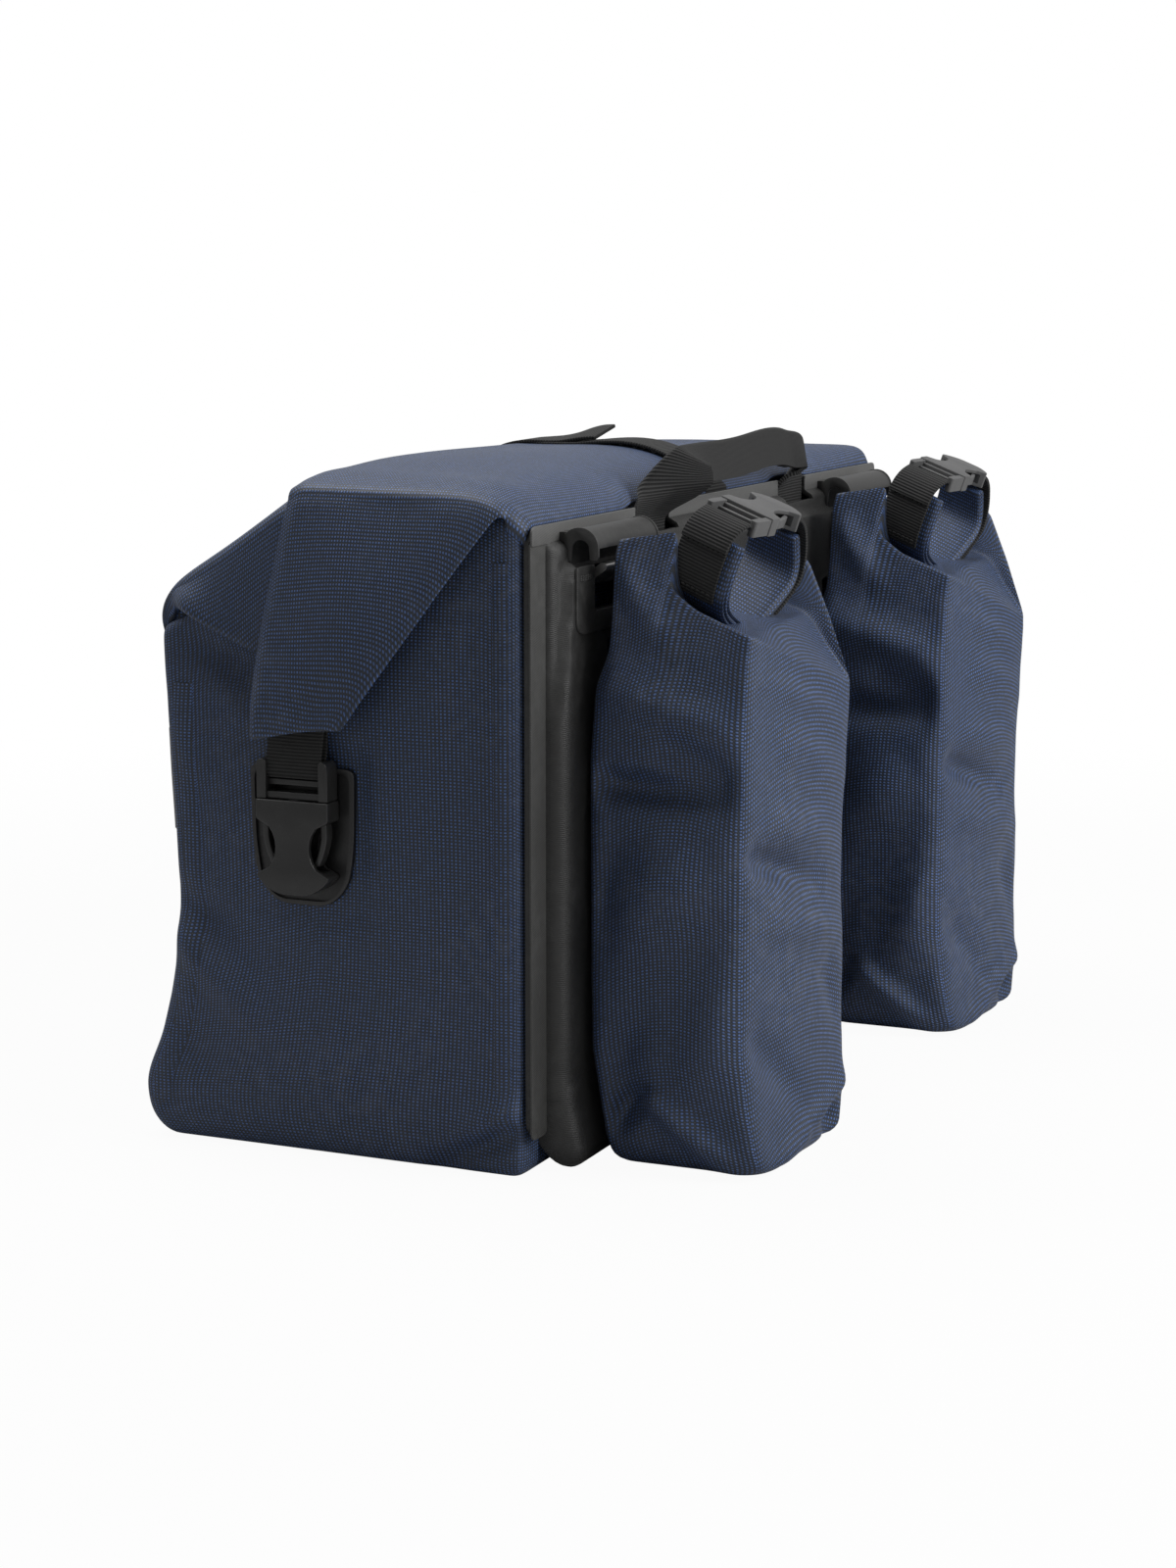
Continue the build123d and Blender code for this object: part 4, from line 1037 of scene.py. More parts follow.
def webbing_strip(name: str, path: Array, across: Sequence[float] | Array, width: float,
                  thickness: float, body: str, *replaced: str) -> None:
    """Builds a flat strap with rounded edges and hands it in.

    Args:
        name: the strap's name.
        path: points along its middle, in metres.
        across: direction of its width, one for the whole path or one for each point.
        width: the strap's width.
        thickness: the strap's thickness.
        body: the moving body that it rides on.
        replaced: the CAD nodes that it stands for.
    """
    across = unit(np.broadcast_to(np.asarray(across, float), path.shape))
    shares = np.linspace(-0.5, 0.5, 7) * width
    points = path[:, None] + across[:, None] * shares[None, :, None]
    strip = lofted(name, points, flat_grid(run_length(path), shares))
    modify(strip, "SOLIDIFY", thickness=thickness, offset=0.0)
    modify(strip, "BEVEL", width=thickness * 0.3, segments=2, limit_method="ANGLE")
    hand_in(strip, WEBBING, body, *replaced, angle=40)


def block(name: str, outline: Sequence[tuple[float, float]], low: float, high: float,
          bevel: float = 0.0008, segments: int = 3) -> Piece:
    """A block with the given outline, modelled from a filled circle.

    Args:
        name: the object's name.
        outline: corner points in order, in metres.
        low: lower face.
        high: upper face.
        bevel: width of the rounding along its sharp edges.
        segments: how finely the rounding is divided.

    Returns:
        The new block.
    """
    deselect()
    bpy.ops.mesh.primitive_circle_add(vertices=len(outline), radius=1, fill_type="NGON")
    piece = bpy.context.object
    piece.name = name
    for vertex, (x, y) in zip(piece.data.vertices, outline):
        vertex.co = (x, y, low)
    enter("EDIT")
    bpy.ops.mesh.select_all(action="SELECT")
    bpy.ops.mesh.extrude_region_move(TRANSFORM_OT_translate={"value": (0, 0, high - low)})
    bpy.ops.mesh.select_all(action="SELECT")
    bpy.ops.mesh.normals_make_consistent(inside=False)
    enter("OBJECT")
    if bevel:
        modify(piece, "BEVEL", width=bevel, segments=segments, limit_method="ANGLE")
    return piece


def rounded(corners: Sequence[tuple[float, float, float]], steps: int = 6) -> list:
    """An outline whose corners, given as x, y and radius, are rounded."""
    made = []
    count = len(corners)
    for index, (x, y, radius) in enumerate(corners):
        here = np.array([x, y])
        before = np.array(corners[index - 1][:2]) - here
        after = np.array(corners[(index + 1) % count][:2]) - here
        if radius <= 0:
            made.append((x, y))
            continue
        reach = min(radius, 0.49 * np.linalg.norm(before), 0.49 * np.linalg.norm(after))
        a = here + before / np.linalg.norm(before) * reach
        b = here + after / np.linalg.norm(after) * reach
        for t in np.linspace(0, 1, steps):
            point = (1 - t) ** 2 * a + 2 * t * (1 - t) * here + t * t * b
            made.append((float(point[0]), float(point[1])))
    return made


def rectangle(x0: float, y0: float, x1: float, y1: float, radius: float = 0.0) -> list:
    """A rectangle's outline, its corners rounded."""
    return rounded([(x0, y0, radius), (x1, y0, radius), (x1, y1, radius), (x0, y1, radius)])


def cut(piece: Piece, tool: Piece) -> Piece:
    """Takes the tool's shape out of a piece and removes the tool."""
    activate(piece)
    modifier = piece.modifiers.new("cut", "BOOLEAN")
    modifier.operation = "DIFFERENCE"
    modifier.solver = "EXACT"
    modifier.object = tool
    bpy.ops.object.modifier_apply(modifier=modifier.name)
    bpy.data.objects.remove(tool, do_unlink=True)
    return piece


def joined(name: str, pieces: Sequence[Piece]) -> Piece:
    """Joins pieces into one object."""
    deselect()
    for piece in pieces:
        piece.select_set(True)
    bpy.context.view_layer.objects.active = pieces[0]
    bpy.ops.object.join()
    pieces[0].name = name
    return pieces[0]


def moved(piece: Piece, place: Matrix) -> Piece:
    """Moves a piece's mesh from local places to the model's frame."""
    piece.data.transform(place)
    if place.is_negative:
        piece.data.flip_normals()
    piece.data.update()
    return piece


def stitch_line(start: Vector, finish: Vector, out: Vector, pitch: float) -> Piece:
    """A row of thread stitches from start to finish on a face that looks out."""
    along = finish - start
    count = max(2, int(along.length / pitch))
    deselect()
    bpy.ops.mesh.primitive_cylinder_add(vertices=8, radius=0.00042, depth=pitch * 0.72)
    first = bpy.context.object
    modify(first, "BEVEL", width=0.00018, segments=1)
    first.data.transform(along.to_track_quat("Z", "Y").to_matrix().to_4x4())
    made = []
    for index in range(count):
        copy = linked("stitch", first.data.copy())
        place = start + along * ((index + 0.5) / count) + out * 0.0001
        copy.data.transform(Matrix.Translation(place))
        made.append(copy)
    bpy.data.objects.remove(first, do_unlink=True)
    return joined("stitches", made)


# ---- side-release buckle
@dataclass
class SideRelease:
    """Two-part buckle. Local X across, Y towards the male half, Z outwards; metres."""

    width: float = 0.038
    thickness: float = 0.0115
    length: float = 0.045
    wall: float = 0.0024
    frame: float = 0.0185
    gap: float = 0.00035

    def female(self, name: str) -> Piece:
        """The female half: rounded foot, side openings and the mouth."""
        w, mouth = self.width / 2, self.length
        left = [(-w, mouth, 0.0008), (-w, mouth - 0.0082, 0.0025)]
        for t in np.linspace(-1, 1, 9):
            scoop = 0.0098 * math.cos(t * math.pi / 2) ** 0.45
            left.append((-w + scoop + 0.0004, mouth - 0.0222 - t * 0.0128, 0))
        left += [(-w + 0.0003, mouth - 0.0366, 0.0012), (-w + 0.0032, 0.0052, 0.004),
                 (-w * 0.45, 0.0006, 0.008)]
        right = [(-x, y, r) for x, y, r in left[::-1]]
        shell = block(name, rounded(left + right), 0, self.thickness, 0.0019, 4)
        opening = rectangle(-w + self.wall, mouth - 0.0335, w - self.wall, mouth + 0.004, 0.002)
        return cut(shell, block("mouth", opening, self.wall, self.thickness - self.wall, 0))

    def male(self, name: str) -> Piece:
        """The male half: two posts, the webbing bars, the tongue and two sprung arms."""
        w, mouth = self.width / 2, self.length + self.gap
        low, high = self.wall + self.gap, self.thickness - self.wall - self.gap
        end = mouth + self.frame
        parts = []
        for side in (-1, 1):
            x0, x1 = sorted((side * (w - 0.0052), side * (w - 0.0004)))
            post = rounded([(x0, mouth, 0.0005), (x1, mouth, 0.0005), (x1, end - 0.004, 0.005),
                            (x1 - 0.001 if side > 0 else x1, end, 0.003), (x0, end, 0.003)])
            parts.append(block("post", post, 0.0006, self.thickness - 0.0008, 0.0022, 5))
            bend = [(side * (w - 0.0062 + 0.0042 * math.sin(t * math.pi)), mouth - t * 0.031)
                    for t in np.linspace(0, 1, 8)]
            arm = bend + [(x - side * 0.0032, y) for x, y in bend[::-1]]
            parts.append(block("arm", arm[::side], low, high, 0.0009, 3))
        for reach, near, far, radius, foot, top, bevel in (
            (w - 0.0008, 0.0, 0.0034, 0.0006, low - 0.0006, high + 0.0006, 0.0007),
            (w - 0.002, 0.0062, 0.0092, 0.0008, low + 0.0004, high - 0.0012, 0.0008),
            (w - 0.002, 0.0122, 0.0146, 0.0008, low + 0.0002, high - 0.0022, 0.0006),
            (0.0028, -0.020, 0.001, 0.002, low, high, 0.0008),
        ):
            outline = rectangle(-reach, mouth + near, reach, mouth + far, radius)
            parts.append(block("bar", outline, foot, top, bevel))
        return joined(name, parts)

    def build(self, name: str, end: End, place: Matrix, finish: Finish, bodies: tuple[str, str],
              nodes: str) -> None:
        """Builds both halves in place.

        Args:
            name: first words of the pieces' names.
            end: the end of the bag that the buckle belongs to.
            place: the buckle's place in the model's frame.
            finish: the finish of both halves.
            bodies: the moving bodies of the female and the male half.
            nodes: first word of the CAD nodes that the halves stand for.
        """
        for half, shape, body in (("female", self.female, bodies[0]),
                                  ("male", self.male, bodies[1])):
            piece = moved(shape(f"{name}_{half}_{end.value}"), place)
            hand_in(piece, finish, body, f"{nodes}_{half}_{end.value}")


def plane_at(origin: Sequence[float], x_axis: Sequence[float], z_axis: Sequence[float],
             scale: float = 1.0) -> Matrix:
    """The place of a local frame, optionally with a smaller scale."""
    x, z = Vector(x_axis).normalized(), Vector(z_axis).normalized()
    y = z.cross(x)
    rows = Matrix((x * scale, y * scale, z * scale)).transposed().to_4x4()
    return Matrix.Translation(Vector(origin)) @ rows


@dataclass
class ClosureBuckle:
    """One end's patch, buckle and the webbing from its tab."""

    end: End
    patch_thickness: float = 0.0015
    rim: float = 0.0024
    buckle: SideRelease = field(default_factory=SideRelease)

    def patch_outline(self, half: float, tall: float, inset: float = 0.0) -> list:
        """The patch's outline, pulled in all round."""
        right = [(half * 0.5, inset, 0.012), (half - 0.0035 - inset, tall * 0.16, 0.013),
                 (half - 0.0005 - inset, tall * 0.45, 0.02), (half - inset, tall - inset, 0.005)]
        return rounded(right[::-1] + [(-x, z, radius) for x, z, radius in right])

    def build(self) -> None:
        """Builds the patch, both halves and the webbing."""
        name, side = self.end.value, self.end.side
        low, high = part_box(f"buckle_patch_{name}")
        centre = (low.y + high.y) / 2
        size = ((high.y - low.y) / 2, high.z - low.z)
        base = block(f"patch_{name}", self.patch_outline(*size), -0.0030,
                     self.patch_thickness + 0.0012, 0.0009, 3)
        cut(base, block("hollow", self.patch_outline(*size, self.rim),
                        self.patch_thickness - 0.0004, 0.01, 0))
        flat = plane_at((side * HALF, centre, low.z), (0, side, 0), (side, 0, 0))
        hand_in(moved(base, flat), PATCH, "bag", f"buckle_patch_{name}")
        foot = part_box(f"buckle_female_{name}")[0].z
        place = plane_at((side * (HALF + self.patch_thickness), centre, foot), (0, side, 0),
                         (side, 0, 0))
        bodies = ("bag", f"closure_buckle_{name}")
        self.buckle.build("closure", self.end, place, BUCKLE, bodies, "buckle")
        self.build_webbing(place, name)

    def build_webbing(self, place: Matrix, name: str) -> None:
        """Webbing that goes round the bar and up behind the tab."""
        bar = self.buckle.length + 0.0112
        lines = ((0.0010, 0.029), (0.0016, 0.018), (0.0028, 0.009), (0.0052, 0.002),
                 (0.0072, -0.0012), (0.0084, -0.0002), (0.0086, 0.004), (0.0078, 0.010),
                 (0.0058, 0.019), (0.0044, 0.0265))
        local = smooth_path([(0, bar + up, out) for out, up in lines], 40)
        path = np.array([place @ Vector(point) for point in local])
        webbing_strip(f"closure_strap_{name}", path, place.to_3x3() @ Vector((1, 0, 0)), 0.0285,
                      0.0015, f"closure_buckle_{name}", f"closure_webbing_{name}")


# ---- small bags
@dataclass
class SmallBag:
    """One small roll-top bag: a lofted cloth body that narrows to its rolled ring."""

    end: End
    segments: tuple = (8, 3, 4, 9, 26, 4, 5, 6, 5, 20)
    side_folds: tuple = folds(
        (28, 226, 94, 205, 10, 3.0), (14, 181, 80, 178, 8, -5.0), (60, 196, 92, 184, 9, -2.4),
        (46, 126, 76, 150, 19, 3.4), (12, 104, 30, 152, 13, -2.4), (72, 44, 86, 96, 13, 2.2),
        (44, 40, 90, 4, 6, 3.4), (43, 40, 20, 12, 6.5, -4.4), (26, 40, 40, 70, 9, -1.8),
        (34, 276, 52, 250, 6, 2.2))
    front_folds: tuple = folds(
        (-42, 150, 12, 132, 6.5, -5.6), (-24, 164, 26, 150, 8, 2.8), (-30, 118, 36, 104, 8, 3.0),
        (-44, 66, 0, 26, 9, -2.6), (46, 30, -2, 13, 5, 3.4), (-4, 12, -36, 2, 5, 2.6),
        (30, 12, 44, 4, 9, -4.5), (-14, 198, 40, 178, 9, 2.4), (-46, 236, 36, 204, 6, 1.8),
        (24, 84, 44, 60, 8, -2.4))
    ring_path: tuple = ((-35, 36.5), (-36.5, 27), (-36.5, 16), (-34.5, 8), (-29, 1.5), (-16, -4.5),
                        (-5, -9), (1.5, -11), (8, -7), (16, 0.5), (24, 8), (29, 14),
                        (30, 20), (28.5, 28), (25, 35))
    ring_low: float = -22.0
    ring_high: float = 9.0
    ring_half: float = 3.1
    strap_width: float = 0.0245
    column_gap: float = 4.0

    def __post_init__(self) -> None:
        """Takes the bag's place from its CAD solid."""
        low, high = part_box(f"small_bag_{self.end.value}")
        self.centre = (low.x + high.x) / 2
        self.body = f"side_bag_{self.end.value}"
        turn, lean = math.radians(8), math.radians(20)
        self.run = np.array([math.cos(turn), -math.sin(turn), 0])
        level = np.array([-math.sin(turn), -math.cos(turn), 0])
        self.up = math.cos(lean) * np.array([0, 0, 1]) + math.sin(lean) * level
        self.out = np.cross(self.run, self.up)
        self.origin = np.array([self.centre, BACK - 0.071, 0.260])
        self.middle = (self.ring_low + self.ring_high) / 2
        counts = self.segments
        self.edges = np.cumsum([sum(counts[:4]), counts[4], sum(counts[5:9]), counts[9]])

    def on_ring(self, x: Array, y: Array, z: Array) -> Array:
        """Points given along the run, up the lean and out across the band, in mm."""
        parts = [np.asarray(v, float)[..., None] * MM for v in (x, y, z)]
        return self.origin + parts[0] * self.run + parts[1] * self.up + parts[2] * self.out

    def loops(self) -> list:
        """Each loop's ten points, from the back near corner round the front, and its radius."""
        made = []
        for *flat, level, front, radius in (
            (-20, 58, -20, 80, 22, 84, 22, 58, 1.0, 1.0, 6),
            (-38, 40, -37, 90, 38, 98, 38, 40, 0.6, 0.6, 8),
            (-46, 29, -45, 99, 43, 106, 46, 29, 1.4, 1.4, 8),
            (-50, 25, -49, 102, 47, 109, 50, 25, 5, 5, 8),
            (-52, 22.5, -51.5, 100.5, 50, 108.5, 52, 22.5, 14, 14, 9),
            (-52.5, 19, -52.5, 97, 51, 108.5, 52.5, 20, 34, 34, 10),
            (-52.5, 15.5, -53, 94.5, 51, 108, 52.5, 15.5, 56, 56, 10),
            (-52.5, 15, -53, 94, 50, 108, 52.5, 15, 90, 90, 10),
            (-52.5, 15, -53, 94, 49.5, 107, 52.5, 15, 125, 122, 10),
            (-52.5, 15, -53, 94, 49.5, 107, 52.5, 15, 160, 155, 9),
            (-52.5, 15, -53, 94, 49.5, 108, 51.5, 15, 192, 184, 8),
        ):
            a, b, c, d = xyz(flat[::2], flat[1::2], (level, level, front, level))
            near = [a + (b - a) * t for t in (0, 0.36, 0.44, 0.56, 1)]
            far = [c + (d - c) * t for t in (0, 0.2, 0.45, 0.72, 1)]
            made.append((near + far, radius))
        made += [
            ([(-52.5, 18, 226), (-51.5, 42, 226), (-51, 47, 225), (-51.5, 58, 223),
              (-52.5, 94, 218), (49.5, 108.5, 202), (50, 92, 208), (50, 66, 214),
              (50, 38, 218), (50, 17.5, 222)], 6),
            ([(-52, 24.5, 243), (-50.5, 44, 241), (-50, 48, 236.5), (-50.5, 59.5, 233.5),
              (-52, 94, 228.5), (49.5, 108.5, 208.5), (49.5, 93.5, 218), (49, 69, 229),
              (49, 40, 233), (49.5, 24, 235)], 5),
            ([(-51.5, 26, 258), (-49.5, 46, 255), (-49, 49, 247), (-49.5, 61, 243),
              (-51.5, 94, 238), (49.5, 108.5, 214), (49, 95, 228), (48, 72, 244),
              (48, 42, 248), (49, 26, 248)], 4),
            ([(-50, 27, 286), (-46.5, 54, 289), (-46, 51.5, 268), (-46.8, 64, 259),
              (-50.5, 94.5, 248.5), (49.5, 108, 218.5), (46, 98, 246), (40, 84, 272), (42, 54, 272),
              (47, 28, 266)], 2.5),
            ([(-49, 29, 294), (-45.2, 57.5, 299), (-45, 53, 273), (-46, 66, 263.5),
              (-50, 95, 252), (49.5, 107.5, 221), (44.5, 99, 252), (38, 90, 281),
              (40, 56, 281), (46, 29, 274)], 1.5),
            ([(-47.5, 29, 293.5), (-43.8, 57.5, 297), (-43.6, 54, 271), (-44, 66.5, 262),
              (-48, 94, 252.5), (49, 105, 224.5), (43, 97.5, 251), (36.5, 89, 279),
              (38.5, 56.5, 279.5), (44.5, 31, 273.5)], 1.5),
            ([(-43, 38, 281), (-41.5, 56, 280), (-41, 55, 266), (-41, 66, 258), (-44, 91, 252),
              (44, 96, 240), (40, 93, 254), (34, 86, 268), (36, 57, 270), (40, 38, 270)], 2),
            ([(-34, 48, 268), (-34, 56, 266), (-34, 60, 262), (-34, 68, 256), (-36, 88, 251),
              (34, 90, 254), (34, 84, 257), (30, 78, 260), (32, 58, 264), (34, 48, 266)], 2),
            ([(-12, 60, 258), (-12, 62, 258), (-12, 65, 257), (-12, 68, 256), (-12, 78, 254),
              (14, 78, 255), (14, 74, 256), (14, 70, 257), (14, 64, 258), (14, 60, 258)], 2),
        ]
        return made

    def loop_points(self, corners: list, radius: float) -> Array:
        """A closed loop through ten points, rounded at its four upright edges, in mm."""
        corners = [np.array(corner, float) for corner in corners]
        made = []
        for index, count in enumerate(self.segments):
            start, end = corners[index], corners[(index + 1) % len(corners)]
            made.extend(start + (end - start) * t for t in np.arange(count) / count)
        closed = np.array(made + made[:1])
        walk = run_length(closed)
        total = walk[-1]

        def point_at(length: float) -> Array:
            """The point a length along the loop."""
            return np.array([np.interp(length % total, walk, closed[:, k]) for k in range(3)])

        starts = np.concatenate([[0], np.cumsum(self.segments)])[:-1]
        shaped = closed[:-1].copy()
        for corner in (0, 4, 5, 9):
            here = walk[starts[corner]]
            away = (walk[:-1] - here + total / 2) % total - total / 2
            before, after = point_at(here - radius), point_at(here + radius)
            for index in np.nonzero(np.abs(away) < radius)[0]:
                t = 0.5 + 0.5 * away[index] / radius
                shaped[index] = ((1 - t) ** 2 * before + 2 * t * (1 - t) * corners[corner]
                                 + t * t * after)
        return shaped

    def body_points(self) -> tuple[Array, Array]:
        """The loft's points and its flat cloth map, in metres."""
        rows = [self.loop_points(*loop) for loop in self.loops()]
        dense = []
        for first, second in zip(rows[:-1], rows[1:]):
            gap = np.median(np.linalg.norm(second - first, axis=1))
            steps = max(1, int(round(gap / self.column_gap)))
            dense.extend(first + (second - first) * t for t in np.linspace(0, 1, steps + 1)[:-1])
        dense.append(rows[-1])
        points = np.array(dense)[:, ::-1] * MM
        widths = np.linalg.norm(np.roll(points, -1, axis=1) - points, axis=2)
        across = np.concatenate([[0], np.cumsum(widths[len(widths) // 3])])
        heights = np.linalg.norm(np.diff(points, axis=0), axis=2)
        climb = np.concatenate([np.zeros((1, points.shape[1])), np.cumsum(heights, axis=0)])
        climb = np.concatenate([climb, climb[:, :1]], axis=1)
        flat = np.stack([np.broadcast_to(across, climb.shape), climb], axis=-1)
        return points, flat

    def build_body(self) -> None:
        """The cloth body, with its soft folds."""
        points, flat = self.body_points()
        points = points[:, ::-1]
        x, y, z = np.moveaxis(points.copy(), -1, 0)
        side = 2.3 * sum(fold.rise(y, z) for fold in self.side_folds)
        face = 1.6 * sum(fold.rise(x, z) for fold in self.front_folds)
        column = np.arange(points.shape[1])

        def window(first: int, last: int) -> Array:
            """One inside a side, fading towards its edges."""
            rising = np.clip((column - first) / 3.0, 0, 1)
            falling = np.clip((last - column) / 3.0, 0, 1)
            return rising * falling

        front = window(self.edges[0], self.edges[1])
        upper = (z < 0.29) * ease(z, 0.300, 0.285)
        lower = ease(z, 0.245, 0.215)
        bulge = np.sin(math.pi * np.clip(z / 0.24, 0, 1))
        across = np.sin(math.pi * np.clip((x + 0.05) / 0.1, 0, 1))
        points[..., 0] -= side * window(0, self.edges[0]) * upper
        points[..., 0] += side * window(self.edges[1], self.edges[2]) * lower
        points[..., 0] += np.sign(x) * 0.0010 * bulge * (np.abs(x) > 0.045)
        points[..., 1] += face * front * lower + 0.0035 * bulge * front * across
        points[..., 1] = BACK - points[..., 1]
        points[..., 0] += self.centre
        body = lofted(f"side_bag_cloth_{self.end.value}", points[:, ::-1], flat,
                      closed=True, turned=self.turned)
        close_ends(body)
        modify(body, "SUBSURF", levels=1)
        hand_in(body, NAVY, self.body, f"small_bag_{self.end.value}", angle=CLOTH_TURN)

    def turned(self, row: int, column: int) -> bool:
        """The front and back panels are cut across the cloth."""
        total = self.edges[-1]
        panel = np.searchsorted(self.edges, (total - 2 - column) % total + 0.5)
        return int(panel) in (1, 3)

    def band_line(self, share: Array) -> Array:
        """The rolled band's middle line, along and up, in mm; share runs from arm to arm."""
        line = smooth_path([(x, y, 0) for x, y in self.ring_path], 200)
        even = np.linspace(0, 1, len(line))
        return np.stack([np.interp(share, even, line[:, axis]) for axis in (0, 1)], axis=1)

    def outward(self, line: Array) -> Array:
        """Directions square to the band's line, away from the ring's middle."""
        step = unit(np.gradient(line, axis=0))
        return np.stack([step[:, 1], -step[:, 0]], axis=1)

    def offset_line(self, share: Array, away: float) -> Array:
        """The band's line moved away to its outer side."""
        line = self.band_line(share)
        return line + self.outward(line) * away

    def build_ring(self) -> None:
        """The rolled band: a flattened spiral of cloth bent up into a ring."""
        name = self.end.value
        share = np.linspace(0, 1, 64)
        line = self.band_line(share)
        outward = self.outward(line)
        half, low, high = self.ring_half, self.ring_low, self.ring_high
        foot, head = low + 2.0, high - 2.0
        grooves = ((-half * 0.72, 1.5), (-half * 0.38, 1.3), (-half * 0.3, 0.1),
                   (-half * 0.05, 1.6), (half * 0.3, 1.4), (half * 0.36, 0.2), (half * 0.7, 1.5))
        section = [(-half, t) for t in np.linspace(foot, head, 8)]
        section += [(a, head + 1.4 * b) for a, b in grooves]
        section += [(half, t) for t in np.linspace(head, foot, 8)]
        section += [(-a, foot - 1.2 * b) for a, b in grooves]
        section = np.array(section)
        rows = []
        for index, s in enumerate(share):
            tip = 1.0 if 0 < index < len(share) - 1 else 0.55
            offset = section[:, 0] * (1 + 0.18 * math.sin(s * math.pi)) * tip
            sag = 4.0 * math.exp(-((s - 0.46) / 0.2) ** 2)
            rise = (section[:, 1] - low) / (high - low)
            x = line[index, 0] + outward[index, 0] * offset
            y = line[index, 1] + outward[index, 1] * offset + sag * (1 - rise)
            z = section[:, 1] - 5.0 * ease(s, 0.78, 1.0) * rise
            rows.append(self.on_ring(x, y, z))
        rim = np.concatenate([section, section[:1]])
        weave = flat_grid(run_length(line) * MM, run_length(rim) * MM)
        band = lofted(f"rolled_band_{name}", np.array(rows), weave, closed=True)
        close_ends(band)
        modify(band, "SUBSURF", levels=1)
        hand_in(band, NAVY, self.body, f"roll_band_{name}", angle=CLOTH_TURN)

    def ring_strap(self, name: str, line: Array, thickness: float, body: str,
                   *replaced: str) -> None:
        """Webbing along a line on the ring, given in mm."""
        webbing_strip(f"{name}_{self.end.value}", self.on_ring(*line.T), self.out,
                      self.strap_width, thickness, body, *replaced)

    def build_straps(self) -> None:
        """Webbing up the outside of both arms and over to the buckle."""
        name, middle = self.end.value, self.middle
        near = [(x, y, middle - 1.5) for x, y in self.offset_line(np.linspace(0.0, 0.22, 18), 4.6)]
        self.ring_strap("near_arm_strap", smooth_path(near, 46), 0.0017, self.body)
        over = [(-26.0, 42.9, middle), (-29.0, 45.3, middle), (-32.5, 44.6, middle),
                (-37.0, 42.0, middle - 0.8), (-40.4, 37.0, middle - 1.5),
                (-42.0, 31.5, middle - 1.5)]
        self.ring_strap("ring_strap", smooth_path(over, 24), 0.0016, f"side_buckle_{name}",
                        f"ring_webbing_{name}")
        far = [*self.offset_line(np.linspace(0.52, 1.0, 26), 4.4), (26.5, 40.0), (22.0, 43.5),
               (16.0, 44.7)]
        line = smooth_path([(x, y, 0) for x, y in far], 52)
        lift = ease(np.linspace(0, 1, len(line)), 0.45, 0.95)
        start = self.ring_high - 12.2
        line[:, 2] = start + (middle - 0.5 - start) * lift
        self.ring_strap("far_arm_strap", line, 0.0018, self.body, f"arm_webbing_{name}")

    def build_stitches(self) -> None:
        """Thread across the near arm's webbing, in two rows."""
        made = []
        middle = self.middle - 1.5
        line = self.offset_line(np.linspace(0, 0.3, 60), 5.7)
        for height in (31.0, 32.6, 9.0, 10.6):
            x = float(np.interp(-height, -line[:, 1], line[:, 0]))
            start, finish = (Vector(self.on_ring(x, height, middle + reach))
                             for reach in (-11.0, 11.0))
            made.append(stitch_line(start, finish, Vector(-self.run), 0.0026))
        thread = joined(f"arm_stitches_{self.end.value}", made)
        hand_in(thread, THREAD, self.body, angle=50)

    def build(self) -> None:
        """Builds the whole small bag, with the buckle across the top of its ring."""
        self.build_body()
        self.build_ring()
        self.build_straps()
        self.build_stitches()
        place = plane_at(self.on_ring(21.0, 39.0, -7.0), -self.out, self.up, 0.76)
        bodies = (self.body, f"side_buckle_{self.end.value}")
        # The ring buckles take the paler, painted-highlight copy of the buckle plastic.
        SideRelease().build("ring_buckle", self.end, place, LIT_RING_BUCKLE, bodies, "ring")


